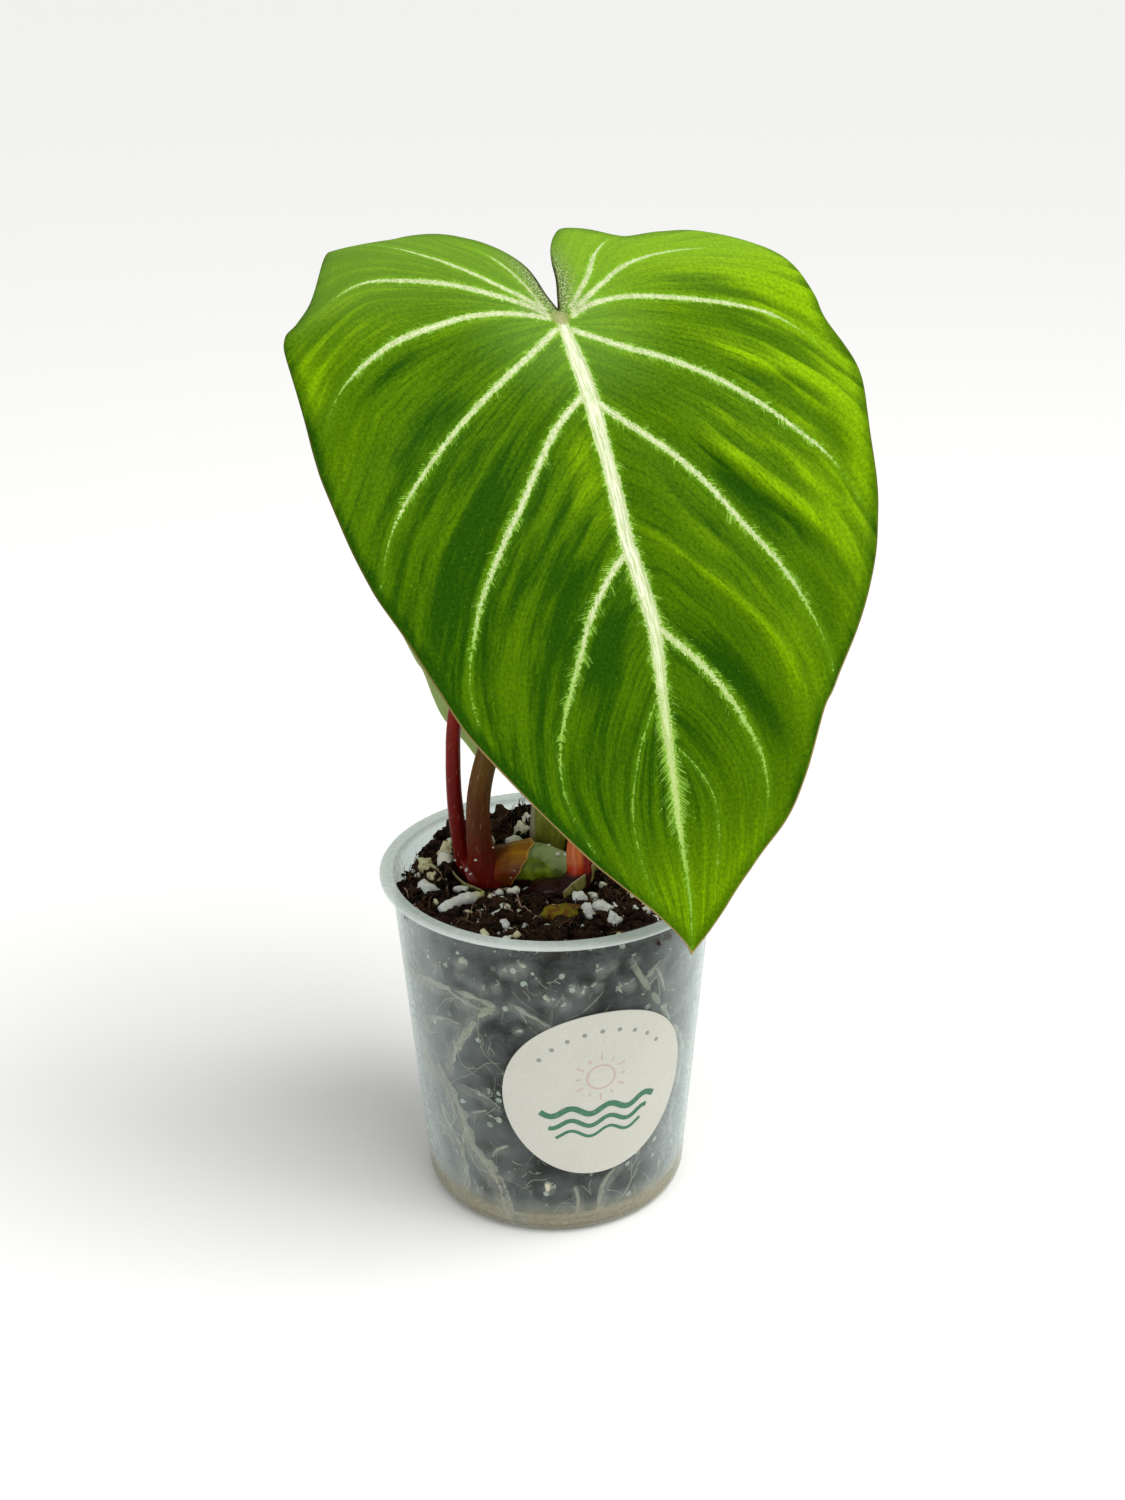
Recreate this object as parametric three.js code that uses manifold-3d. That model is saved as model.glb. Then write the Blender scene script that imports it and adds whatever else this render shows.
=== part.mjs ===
// Philodendron gloriosum, a creeping aroid, rooted in a clear nursery pot.
// Millimetres, +Z up, -Y is the front. The origin is the centre of the pot's foot.
import * as THREE from "three";
import { mergeVertices } from "three/addons/utils/BufferGeometryUtils.js";
import Module from "manifold-3d";

const wasm = await Module();
wasm.setup();

// ---------------------------------------------------------------- driving dimensions

// Clearance between neighbouring pieces that touch on the real plant.
const GAP = 0.3;

// Pot: thin moulded polypropylene, tapered, with a flat rolled-out rim.
const POT_HEIGHT = 92;
const RIM_RADIUS = 45;
const RIM_THICKNESS = 1.3;
const WALL_TOP_RADIUS = 42;
const FOOT_RADIUS = 35;
const FOOT_FILLET = 4;
const WALL = 0.8;
const FLOOR = 1;
const DRAIN_HOLES = 8;
const DRAIN_RING_RADIUS = 24;
const DRAIN_HOLE_RADIUS = 3.5;
const POT_SIDES = 48;

// Sticker: a round paper disc wrapped onto the wall, right of the front.
const LABEL_RADIUS = 25;
const LABEL_THICKNESS = 0.3;
const LABEL_ANGLE = 17.5;
const LABEL_HEIGHT = 45;

// Soil: bark, peat and perlite, filled to a few millimetres under the rim and heaped at the back.
const SOIL_LEVEL = 85;
const SOIL_RISE = 4.5;
const SOIL_BOTTOM = FLOOR + GAP;
const PERLITE_GRAINS = 38;

// Large blade: an open heart, measured from where the leafstalk joins it to the tip.
const BLADE_LENGTH = 158.5;
const BLADE_THICKNESS = 0.8;
const BLADE_ORIGIN = new THREE.Vector3(3.5, 21.4, 229);
const BLADE_HEADING = 24;
const QUILT_HEIGHT = 1.1;
const QUILT_REACH = 7;

// Small blade: the same form, a little over half the size, turned to the back.
const SMALL_BLADE_SCALE = 0.57;
const SMALL_BLADE_ORIGIN = new THREE.Vector3(-0.9, 42, 175);
const SMALL_BLADE_HEADING = 191.5;
const SMALL_BLADE_PITCH = 17;
const SMALL_BLADE_ROLL = 9.5;

// Thickness of the stalks at the soil and at the blade.
const LARGE_STALK_RADIUS = 3.1;
const SMALL_STALK_RADIUS = 2;
const HUB_RADIUS = 3.2;
const HUB_HEIGHT = 2.2;
const ROOT_RADIUS = 0.9;

// ---------------------------------------------------------------- helpers

const radians = THREE.MathUtils.degToRad;
const lerp = THREE.MathUtils.lerp;
const clamp = THREE.MathUtils.clamp;
const smoothstep = THREE.MathUtils.smoothstep;

// Repeatable random numbers from 0 to 1.
function seeded(seed) {
  let state = seed;
  return () => {
    state = (state * 1664525 + 1013904223) % 4294967296;
    return state / 4294967296;
  };
}

// Geometry from a list of points and a list of triangles.
function shell(points, triangles) {
  const geometry = new THREE.BufferGeometry();
  const numbers = points.flatMap((p) => [p.x, p.y, p.z]);
  geometry.setAttribute("position", new THREE.Float32BufferAttribute(numbers, 3));
  geometry.setIndex(triangles.flat());
  return geometry;
}

// The same closed geometry as a solid that can be joined and cut.
function solid(geometry) {
  const bare = geometry.clone();
  bare.deleteAttribute("normal");
  bare.deleteAttribute("uv");
  const merged = mergeVertices(bare, 1e-4);
  const vertProperties = new Float32Array(merged.attributes.position.array);
  const triVerts = new Uint32Array(merged.index.array);
  return new wasm.Manifold(new wasm.Mesh({ numProp: 3, vertProperties, triVerts }));
}

// A solid back to geometry, without any loose scrap that a cut has left.
function geometryOf(made) {
  const pieces = made.decompose();
  pieces.sort((a, b) => b.volume() - a.volume());
  const { vertProperties, triVerts } = pieces[0].getMesh();
  const geometry = new THREE.BufferGeometry();
  geometry.setAttribute("position", new THREE.BufferAttribute(new Float32Array(vertProperties), 3));
  geometry.setIndex(new THREE.BufferAttribute(new Uint32Array(triVerts), 1));
  return geometry;
}

function joined(geometries) {
  return geometries.map(solid).reduce((all, next) => all.add(next));
}

// A round stem along a smooth curve. radiusAt gives its radius from 0 at the start to 1 at the
// end, and extra fattens and lengthens it, to cut the hole that it stands in.
function stem(points, radiusAt, sides, steps, extra = 0) {
  const curve = new THREE.CatmullRomCurve3(points, false, "centripetal");
  const frames = curve.computeFrenetFrames(steps);
  const vertices = [];
  const triangles = [];
  for (let i = 0; i <= steps; i++) {
    const u = i / steps;
    const centre = curve.getPointAt(u);
    const reach = i === 0 ? -extra : i === steps ? extra : 0;
    centre.addScaledVector(frames.tangents[i], reach);
    for (let k = 0; k < sides; k++) {
      const angle = (2 * Math.PI * k) / sides;
      const radius = radiusAt(u) + extra;
      const offset = new THREE.Vector3()
        .addScaledVector(frames.normals[i], Math.cos(angle) * radius)
        .addScaledVector(frames.binormals[i], Math.sin(angle) * radius);
      vertices.push(centre.clone().add(offset));
    }
    if (i === 0 || i === steps) vertices.push(centre);
  }
  const ring = (i, k) => i * sides + (k % sides) + (i > 0 ? 1 : 0);
  for (let k = 0; k < sides; k++) {
    for (let i = 0; i < steps; i++) {
      triangles.push([ring(i, k), ring(i, k + 1), ring(i + 1, k + 1)]);
      triangles.push([ring(i, k), ring(i + 1, k + 1), ring(i + 1, k)]);
    }
    triangles.push([sides, ring(0, k + 1), ring(0, k)]);
    triangles.push([ring(steps, 0) + sides, ring(steps, k), ring(steps, k + 1)]);
  }
  return shell(vertices, triangles);
}

const vectors = (list) => list.map((p) => new THREE.Vector3(...p));

// A function of u that passes evenly through the given values.
function through(values) {
  return (u) => {
    const place = clamp(u, 0, 1) * (values.length - 1);
    const i = Math.min(Math.floor(place), values.length - 2);
    return lerp(values[i], values[i + 1], place - i);
  };
}

// ---------------------------------------------------------------- pot and label

const wallRadius = (z) =>
  lerp(FOOT_RADIUS, WALL_TOP_RADIUS, (z - FOOT_FILLET) / (POT_HEIGHT - RIM_THICKNESS - FOOT_FILLET));
const innerRadius = (z) => wallRadius(z) - WALL;

function potGeometry() {
  const profile = [new THREE.Vector2(0, 0)];
  for (const turn of [-90, -60, -30, 0]) {
    const x = FOOT_RADIUS - FOOT_FILLET + FOOT_FILLET * Math.cos(radians(turn));
    const y = FOOT_FILLET + FOOT_FILLET * Math.sin(radians(turn));
    profile.push(new THREE.Vector2(x, y));
  }
  const underRim = POT_HEIGHT - RIM_THICKNESS;
  profile.push(new THREE.Vector2(WALL_TOP_RADIUS, underRim));
  profile.push(new THREE.Vector2(RIM_RADIUS - 0.4, underRim));
  profile.push(new THREE.Vector2(RIM_RADIUS, underRim + 0.5));
  profile.push(new THREE.Vector2(RIM_RADIUS - 0.4, POT_HEIGHT));
  profile.push(new THREE.Vector2(innerRadius(POT_HEIGHT), POT_HEIGHT));
  profile.push(new THREE.Vector2(innerRadius(FOOT_FILLET), FOOT_FILLET));
  profile.push(new THREE.Vector2(FOOT_RADIUS - FOOT_FILLET + 1, FLOOR));
  profile.push(new THREE.Vector2(0, FLOOR));
  // The lathe turns about Y, so it is stood up afterwards.
  let pot = solid(new THREE.LatheGeometry(profile, POT_SIDES).rotateX(Math.PI / 2));
  for (let i = 0; i < DRAIN_HOLES; i++) {
    const angle = (2 * Math.PI * i) / DRAIN_HOLES;
    const hole = new THREE.CylinderGeometry(DRAIN_HOLE_RADIUS, DRAIN_HOLE_RADIUS, 4 * FLOOR, 8);
    hole.rotateX(Math.PI / 2);
    hole.translate(DRAIN_RING_RADIUS * Math.cos(angle), DRAIN_RING_RADIUS * Math.sin(angle), 0);
    pot = pot.subtract(solid(hole));
  }
  return geometryOf(pot);
}

// A point on the wall, or out from it, at an angle from the front and a height.
function atWall(angle, z, out) {
  const radius = wallRadius(z) + out;
  return new THREE.Vector3(radius * Math.sin(radians(angle)), -radius * Math.cos(radians(angle)), z);
}

// The sticker is a disc in arc length round the wall and height, built in rings.
function labelGeometry() {
  const rings = 3;
  const sides = 24;
  const middle = wallRadius(LABEL_HEIGHT);
  const place = (ring, side, out) => {
    const reach = (LABEL_RADIUS * ring) / rings;
    const turn = (2 * Math.PI * side) / sides;
    const angle = LABEL_ANGLE + THREE.MathUtils.radToDeg((reach * Math.cos(turn)) / middle);
    return atWall(angle, LABEL_HEIGHT + reach * Math.sin(turn), out);
  };
  const points = [];
  const triangles = [];
  const layers = [GAP + LABEL_THICKNESS, GAP];
  for (const out of layers) {
    points.push(place(0, 0, out));
    for (let ring = 1; ring <= rings; ring++) {
      for (let side = 0; side < sides; side++) points.push(place(ring, side, out));
    }
  }
  const back = 1 + rings * sides;
  const at = (ring, side) => (ring === 0 ? 0 : 1 + (ring - 1) * sides + (side % sides));
  for (let side = 0; side < sides; side++) {
    for (let ring = 0; ring < rings; ring++) {
      const [a, b] = [at(ring, side), at(ring, side + 1)];
      const [c, d] = [at(ring + 1, side), at(ring + 1, side + 1)];
      triangles.push([a, c, d], [a + back, d + back, c + back]);
      if (ring > 0) triangles.push([a, d, b], [a + back, b + back, d + back]);
    }
    const [e, f] = [at(rings, side), at(rings, side + 1)];
    triangles.push([e, e + back, f + back], [e, f + back, f]);
  }
  return shell(points, triangles);
}

// ---------------------------------------------------------------- the blade's surface

// Flat leaf coordinates: s runs down the midrib from the stalk, t runs across, left negative.
// The blade arches over: its slope below the horizontal grows from the stalk to the tip.
const SLOPE_AT_STALK = 38.5;
const SLOPE_AT_TIP = 71;
const SLOPE_REACH = 55;
const TWIST_AT_STALK = 0.8;
const TWIST_TO_TIP = 5.7;
const TROUGH_AT_STALK = 4;
const TROUGH_AT_TIP = 5.7;

// Per half: how much it droops, where its rear lobe folds down, and the wave of its edge.
const LEFT_HALF = {
  droop: [3.0, 3.4],
  fold: { sharpness: 0.014, start: 33.2, spread: 16.6 },
  wave: { height: 2.1, crest: 88, length: 38 },
};
const RIGHT_HALF = {
  droop: [1.2, -2.5],
  fold: { sharpness: 0.029, start: 27, spread: 36 },
  wave: { height: 0.9, crest: 78, length: 47 },
};

// Edge of each half, as [s, distance from the midrib], from the sinus round to the tip.
const LEFT_EDGE = [
  [-13, 1.8], [-28, 7], [-36, 20], [-42.5, 30], [-45, 41], [-26, 53.5], [-5, 66.5], [20, 68.6],
  [38, 68.6], [61, 62.8], [80, 54.8], [97, 47.5], [117, 35], [135.5, 20.3], [151.8, 5.6],
];
const RIGHT_EDGE = [
  [-11, 3.3], [-26.6, 8.7], [-32.5, 16], [-27, 29], [-27, 45], [-25, 56.5], [-11, 65.2], [13, 69.2],
  [28, 70.2], [51, 66], [73, 60.2], [88, 52.3], [102.5, 42.6], [122.5, 31], [138, 18.7], [149.5, 6.3],
];

// Main veins as [s, t]: four pairs fan out of the sinus, the rest leave the midrib.
const MIDRIB = [[0, 0], [45, 0.5], [90, 2], [135, 0.5], [BLADE_LENGTH - 2, -1.8]];
const LEFT_VEINS = [
  [[-3, -3], [-16, -7], [-29, -14]],
  [[-3, -3], [-15, -13], [-30, -29.5]],
  [[-1, -3], [-14, -21.5], [-19, -41], [-9, -61.5]],
  [[0, -3], [-4, -21.7], [0.5, -40], [8.5, -55], [22, -64.8]],
  [[3, -3], [14, -18.5], [29, -37.3], [45, -52.7], [61, -59.5]],
  [[22, -0.5], [39.4, -19.6], [60, -33.8], [84, -44.2], [96, -44.4]],
  [[62, 0.5], [72, -10.4], [93.4, -22.3], [116, -26], [130.4, -21.9]],
  [[98, 1.5], [112.7, -8.6], [130.4, -11], [145.6, -7.4]],
];
const RIGHT_VEINS = [
  [[-3, 4], [-15, 14], [-25, 26]],
  [[-1.5, 4], [-12, 17], [-17.5, 30], [-16.5, 48]],
  [[0, 3.4], [-3.7, 22.5], [1.7, 41.7], [12, 59], [21.5, 65.2]],
  [[3.3, 2], [17, 24.3], [32.4, 44], [46, 54.8], [63, 61.5]],
  [[22, 0.5], [36, 12.6], [60, 30.3], [82, 41.8], [95, 43.8]],
  [[77, 1.5], [92.6, 14.3], [112.3, 22.5], [134.4, 19.7]],
  [[103, 1.5], [119, 7.9], [138.5, 8]],
];

// The midrib's course in the upright plane of the blade: distance out and drop, per millimetre.
const slopeAt = (s) =>
  radians(SLOPE_AT_TIP - (SLOPE_AT_TIP - SLOPE_AT_STALK) * Math.exp(-s / SLOPE_REACH));
const COURSE_START = -60;
const course = [new THREE.Vector2(0, 0)];
for (let s = COURSE_START; s < BLADE_LENGTH + 10; s++) {
  const slope = slopeAt(s + 0.5);
  course.push(new THREE.Vector2(Math.cos(slope), -Math.sin(slope)).add(course.at(-1)));
}
function courseAt(s) {
  const place = clamp(s - COURSE_START, 0, course.length - 1.001);
  const i = Math.floor(place);
  return course[i].clone().lerp(course[i + 1], place - i);
}
const atStalk = courseAt(0);

function veinPath(points, samples) {
  const curve = new THREE.SplineCurve(points.map((p) => new THREE.Vector2(...p)));
  return curve.getPoints(samples);
}
const allVeins = [MIDRIB, ...LEFT_VEINS, ...RIGHT_VEINS].map((v) => veinPath(v, 16));

function distanceToVein(s, t) {
  let nearest = Infinity;
  for (const vein of allVeins) {
    for (let i = 1; i < vein.length; i++) {
      const along = vein[i].clone().sub(vein[i - 1]);
      const to = new THREE.Vector2(s, t).sub(vein[i - 1]);
      const share = clamp(to.dot(along) / along.lengthSq(), 0, 1);
      nearest = Math.min(nearest, to.addScaledVector(along, -share).length());
    }
  }
  return nearest;
}

// The skin is quilted: it swells between the veins and dips along them.
function quilt(s, t) {
  const fromStalk = smoothstep(Math.hypot(s, t), 4, 26);
  const away = distanceToVein(s, t) / QUILT_REACH;
  return QUILT_HEIGHT * fromStalk * (1 - Math.exp(-away * away));
}

// A point of the blade and its upward normal, in the blade's own frame: stalk joint at the
// origin, tip towards -Y.
function bladeAt(s, t) {
  const half = t < 0 ? LEFT_HALF : RIGHT_HALF;
  const across = Math.abs(t);
  const side = Math.sign(t);
  const slope = slopeAt(s);
  const out = courseAt(s).sub(atStalk);
  const down = clamp(s / 165, -0.4, 1);

  // The section rises from the midrib and bends over: a trough that droops at its edges.
  const rise = radians(lerp(TROUGH_AT_STALK, TROUGH_AT_TIP, down));
  const bend = lerp(half.droop[0], half.droop[1], down) / 1000 || 1e-6;
  const sideways = (Math.sin(rise) - Math.sin(rise - bend * across)) / bend;
  let height = (Math.cos(rise - bend * across) - Math.cos(rise)) / bend;

  // Bearing round the stalk: 0 points straight back, 90 straight across.
  const bearing = THREE.MathUtils.radToDeg(Math.atan2(across, -s));
  const reach = Math.hypot(s, t);
  const share = clamp(bearing / 90, 0, 1.2);
  const overFold = Math.max(reach - half.fold.start - half.fold.spread * share, 0);
  const rear = smoothstep(105 - bearing, 0, 35);
  height -= half.fold.sharpness * overFold * overFold * rear;

  const swell = clamp((bearing - 25) / 20, 0, 1) * clamp((150 - bearing) / 40, 0, 1);
  const phase = (2 * Math.PI * (bearing - half.wave.crest)) / half.wave.length;
  height += half.wave.height * Math.cos(phase) * (reach / 60) ** 2 * swell;
  height += quilt(s, t);

  const twist = radians(TWIST_AT_STALK + (TWIST_TO_TIP * s) / 165);
  const upright = new THREE.Vector3(0, -Math.sin(slope), Math.cos(slope));
  const acrossAxis = new THREE.Vector3(Math.cos(twist), 0, 0).addScaledVector(upright, Math.sin(twist));
  const normal = new THREE.Vector3(-Math.sin(twist), 0, 0).addScaledVector(upright, Math.cos(twist));
  const point = new THREE.Vector3(0, -out.x, out.y)
    .addScaledVector(acrossAxis, side * sideways)
    .addScaledVector(normal, height);
  return { point, normal };
}

// ---------------------------------------------------------------- blade solids

// Both faces are the same fan of rays from the stalk joint to the edge, in rings.
function bladeGeometry(raysPerHalf, rings, thickness) {
  const joint = new THREE.Vector2(-2, 0);
  const tip = [BLADE_LENGTH, -2.2];
  const half = (edge, side) => {
    const points = edge.slice(1).map(([s, w]) => [s, side * w]);
    return veinPath([...points, tip], 300);
  };
  const evenly = (path, count) => {
    const curve = new THREE.CatmullRomCurve3(path.map((p) => new THREE.Vector3(p.x, p.y, 0)));
    return curve.getSpacedPoints(count);
  };
  const left = evenly(half(LEFT_EDGE, -1), raysPerHalf);
  const right = evenly(half(RIGHT_EDGE, 1), raysPerHalf).reverse();
  const edge = [...left, ...right.slice(1)];
  const points = [];
  const triangles = [];
  for (const layer of [0.5, -0.5]) {
    for (let j = -1; j < edge.length; j++) {
      for (let i = 1; i <= (j < 0 ? 1 : rings); i++) {
        const share = j < 0 ? 0 : (i / rings) ** 0.9;
        const s = lerp(joint.x, j < 0 ? 0 : edge[j].x, share);
        const t = lerp(joint.y, j < 0 ? 0 : edge[j].y, share);
        const { point, normal } = bladeAt(s, t);
        points.push(point.addScaledVector(normal, layer * thickness));
      }
    }
  }
  const under = 1 + edge.length * rings;
  const at = (i, j) => (i === 0 ? 0 : 1 + j * rings + i - 1);
  const rim = (a, b) => triangles.push([a, a + under, b + under], [a, b + under, b]);
  const last = edge.length - 1;
  for (let j = 0; j < last; j++) {
    for (let i = 0; i < rings; i++) {
      const [a, b, c, d] = [at(i, j), at(i + 1, j), at(i + 1, j + 1), at(i, j + 1)];
      triangles.push([a, b, c], [a + under, c + under, b + under]);
      if (i > 0) triangles.push([a, c, d], [a + under, d + under, c + under]);
    }
    rim(at(rings, j), at(rings, j + 1));
  }
  for (let i = 0; i < rings; i++) {
    rim(at(i, 0), at(i + 1, 0));
    rim(at(i + 1, last), at(i, last));
  }
  return shell(points, triangles);
}

// A vein stands out under the blade as a tapering rib, its back sunk in the skin.
function ribGeometry(vein, steps, thick, thin) {
  const flat = veinPath(vein, steps);
  const points = flat.map(({ x, y }, i) => {
    const radius = lerp(thick, thin, i / steps);
    const { point, normal } = bladeAt(x, y);
    return point.addScaledVector(normal, 0.12 - radius);
  });
  return stem(points, through([thick, thin]), 5, steps);
}

function leafGeometry({ raysPerHalf, rings, thickness, ribs, veins }) {
  const parts = [bladeGeometry(raysPerHalf, rings, thickness)];
  const midrib = MIDRIB.map(([s, t], i) => [i === 0 ? 2 : s, t]);
  parts.push(ribGeometry(midrib, 10, ribs * 1.6, ribs * 0.6));
  for (const vein of veins) {
    parts.push(ribGeometry(vein, 6, ribs, ribs * 0.5));
  }
  // The boss under the joint, where the main veins gather.
  const { point, normal } = bladeAt(0, 0);
  const boss = [point.clone(), point.clone().addScaledVector(normal, -0.5 * thickness - HUB_HEIGHT)];
  parts.push(stem(boss, through([HUB_RADIUS, HUB_RADIUS * 0.8]), 10, 1));
  return geometryOf(joined(parts));
}

// ---------------------------------------------------------------- stalks, rhizome, roots

// A point under a blade's joint, at some depth below the skin, in the part's frame.
function underJoint(mesh, depth) {
  const { point, normal } = bladeAt(0, 0);
  mesh.updateMatrixWorld(true);
  return point.addScaledVector(normal, -depth).applyMatrix4(mesh.matrixWorld);
}

const RHIZOME = vectors([[-23, 8, 82], [-15.5, 10, 85], [-8, 10, 86.2], [0, 9, 86.5], [6.5, 7, 85]]);
const RHIZOME_RADIUS = through([5.6, 6.2, 5.4, 5.2, 4.4]);
const SHEATH = RHIZOME.slice(1, 3).map((p) => p.clone());
const OLD_STUB = vectors([[-1, 20.5, 79], [-1.2, 21, 90], [-0.6, 22, 101], [1, 24, 110]]);
const OLD_STUB_RADIUS = through([5.4, 5, 4.6, 3.8]);
const NEW_SHOOT = vectors([[-4, 0.5, 80.5], [2.5, -1.5, 81], [6.8, -0.8, 85], [6.2, 3, 94], [7, 6, 103]]);
const NEW_SHOOT_RADIUS = through([3.2, 4, 3.4, 2.6, 0.5]);

// Roots leave a crown under the rhizome, reach the wall, and run down along it. Each is a list
// of [angle from the front, height] on the wall.
const CROWN = vectors([[-8, 9.5, 79], [-7, 9, 66]]);
const CROWN_RADIUS = through([3, 2]);
const WALL_ROOTS = [
  [[-78, 78], [-46, 74], [-29, 73], [-14, 69]],
  [[-34, 62], [-42, 50], [-48, 35], [-40, 24], [-25, 10]],
  [[30, 81], [37, 73], [50, 60], [66, 44], [60, 26], [68, 10]],
  [[112, 70], [124, 52], [106, 34], [116, 12]],
  [[-108, 66], [-126, 46], [-112, 26], [-130, 10]],
  [[172, 62], [158, 40], [176, 22], [150, 10]],
  [[6, 34], [19, 21], [24, 14], [20, 10]],
];

function rootPath(route) {
  const wall = new THREE.SplineCurve(route.map((p) => new THREE.Vector2(...p)));
  const inset = -WALL - GAP - ROOT_RADIUS - 0.15;
  const points = wall.getPoints(8).map(({ x, y }) => atWall(x, y, inset));
  const crown = CROWN[0].clone().lerp(CROWN[1], 0.5);
  const halfway = crown.clone().lerp(points[0], 0.6);
  halfway.z = lerp(crown.z, points[0].z, 0.35);
  return [crown, halfway, ...points];
}

function rootsSolid(extra) {
  const roots = [stem(CROWN, CROWN_RADIUS, 7, 2, extra)];
  for (const route of WALL_ROOTS) {
    roots.push(stem(rootPath(route), () => ROOT_RADIUS, 5, 13, extra * 1.2));
  }
  return joined(roots);
}

// ---------------------------------------------------------------- soil

const soilHeight = (x, y) =>
  SOIL_LEVEL + SOIL_RISE * smoothstep(y, 6, 36) +
  0.9 * Math.sin(0.31 * x + 1) * Math.cos(0.27 * y) + 0.6 * Math.sin(0.7 * x - 0.5 * y);

function soilBody(sides, rings) {
  const random = seeded(11);
  const side = [
    [FOOT_RADIUS - FOOT_FILLET - GAP, SOIL_BOTTOM],
    [innerRadius(FOOT_FILLET) - 1.2 * GAP, FOOT_FILLET + 0.6],
  ];
  const points = [new THREE.Vector3(0, 0, SOIL_BOTTOM)];
  const ring = (radiusAt, heightAt) => {
    for (let k = 0; k < sides; k++) {
      const angle = (2 * Math.PI * k) / sides;
      const [x, y] = [Math.cos(angle) * radiusAt, Math.sin(angle) * radiusAt];
      points.push(new THREE.Vector3(x, y, heightAt(x, y)));
    }
  };
  side.forEach(([radius, z]) => ring(radius, () => z));
  const topRadius = innerRadius(SOIL_LEVEL - 2) - GAP;
  ring(topRadius, (x, y) => soilHeight(x, y) - 1);
  for (let i = 1; i < rings; i++) {
    ring(topRadius * (1 - i / rings), (x, y) => soilHeight(x, y) + 1.4 * (random() - 0.5));
  }
  points.push(new THREE.Vector3(0, 0, SOIL_LEVEL));
  const rows = (points.length - 2) / sides;
  const triangles = [];
  const at = (row, k) => 1 + row * sides + (k % sides);
  for (let k = 0; k < sides; k++) {
    triangles.push([0, at(0, k + 1), at(0, k)]);
    for (let row = 0; row < rows - 1; row++) {
      triangles.push([at(row, k), at(row, k + 1), at(row + 1, k + 1)]);
      triangles.push([at(row, k), at(row + 1, k + 1), at(row + 1, k)]);
    }
    triangles.push([at(rows - 1, k), at(rows - 1, k + 1), points.length - 1]);
  }
  return solid(shell(points, triangles));
}

// Perlite grains lie half sunk in the soil: a few clusters, and the rest scattered.
const PERLITE_CLUSTERS = [
  { x: 14, y: -13, spread: 5.5, grains: 7, size: 2.3 },
  { x: -32, y: 4, spread: 6, grains: 5, size: 2.4 },
  { x: -26, y: -9, spread: 4, grains: 3, size: 2 },
  { x: -10, y: -24, spread: 4, grains: 3, size: 1.8 },
  { x: -9, y: 33, spread: 4, grains: 3, size: 2.4 },
];

function grain(random, x, y, size) {
  const geometry = new THREE.IcosahedronGeometry(size, 0);
  geometry.scale(0.8 + 0.5 * random(), 0.8 + 0.4 * random(), 0.7 + 0.4 * random());
  geometry.rotateX(random() * 6);
  geometry.rotateZ(random() * 6);
  return solid(geometry.translate(x, y, soilHeight(x, y) + 0.25 * size));
}

function withPerlite(soil, keepClear) {
  const random = seeded(5);
  const places = [];
  for (const { x, y, spread, grains, size } of PERLITE_CLUSTERS) {
    for (let i = 0; i < grains; i++) {
      const [angle, far] = [random() * 6.28, Math.sqrt(random()) * spread];
      places.push([x + Math.cos(angle) * far, y + Math.sin(angle) * far, size * (0.7 + 0.5 * random())]);
    }
  }
  while (places.length < PERLITE_GRAINS) {
    const [angle, far] = [random() * 6.28, Math.sqrt(random()) * 37];
    places.push([Math.cos(angle) * far, Math.sin(angle) * far, 1 + 1.2 * random()]);
  }
  return places
    .filter(([x, y, size]) => Math.hypot(x, y) < 39 - size * 1.3 && !keepClear(x, y))
    .reduce((all, [x, y, size]) => all.add(grain(random, x, y, size)), soil);
}

// Open ground round the rhizome and the stems.
const overRhizome = (x, y) => x > -31 && x < 14 && y > -6 && y < 30;

// ---------------------------------------------------------------- assembly

function piece(name, geometry, color, roughness, opacity = 1) {
  const material = new THREE.MeshStandardMaterial({ color, roughness, metalness: 0 });
  material.opacity = opacity;
  material.transparent = opacity < 1;
  const mesh = new THREE.Mesh(geometry, material);
  mesh.name = name;
  return mesh;
}

const plant = new THREE.Group();

const largeBlade = leafGeometry({
  raysPerHalf: 23,
  rings: 9,
  thickness: BLADE_THICKNESS,
  ribs: 0.8,
  veins: [...LEFT_VEINS, ...RIGHT_VEINS],
});
const leafLarge = piece("leaf_large", largeBlade, "#3f7a0c", 0.7);
leafLarge.rotation.z = radians(BLADE_HEADING);
leafLarge.position.copy(BLADE_ORIGIN);
plant.add(leafLarge);

const smallBlade = leafGeometry({
  raysPerHalf: 13,
  rings: 5,
  thickness: 0.65 / SMALL_BLADE_SCALE,
  ribs: 0.9,
  veins: [...LEFT_VEINS.slice(2, 6), ...RIGHT_VEINS.slice(1, 5)],
});
const leafSmall = piece("leaf_small", smallBlade, "#5f8f45", 0.7);
leafSmall.rotation.set(radians(SMALL_BLADE_PITCH), radians(SMALL_BLADE_ROLL), 0, "YZX");
leafSmall.rotation.z = radians(SMALL_BLADE_HEADING);
leafSmall.scale.setScalar(SMALL_BLADE_SCALE);
leafSmall.position.copy(SMALL_BLADE_ORIGIN);
plant.add(leafSmall);

// Each stalk rises from the rhizome and turns square to the underside of its blade.
const largeEnd = HUB_HEIGHT + BLADE_THICKNESS / 2 + GAP;
const largeStalk = [
  ...vectors([[-18.5, 6.5, 82], [-19.5, 7.5, 96], [-19, 9, 108], [-14, 14, 128], [-6, 21.5, 168]]),
  ...vectors([[-1, 29, 201]]),
  underJoint(leafLarge, largeEnd + 10),
  underJoint(leafLarge, largeEnd),
];
const LARGE_STALK = through([1.35, 1, 0.97, 0.93, 0.88, 0.8, 0.75, 0.75]);
const largeRadius = (u) => LARGE_STALK_RADIUS * LARGE_STALK(u);

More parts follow.
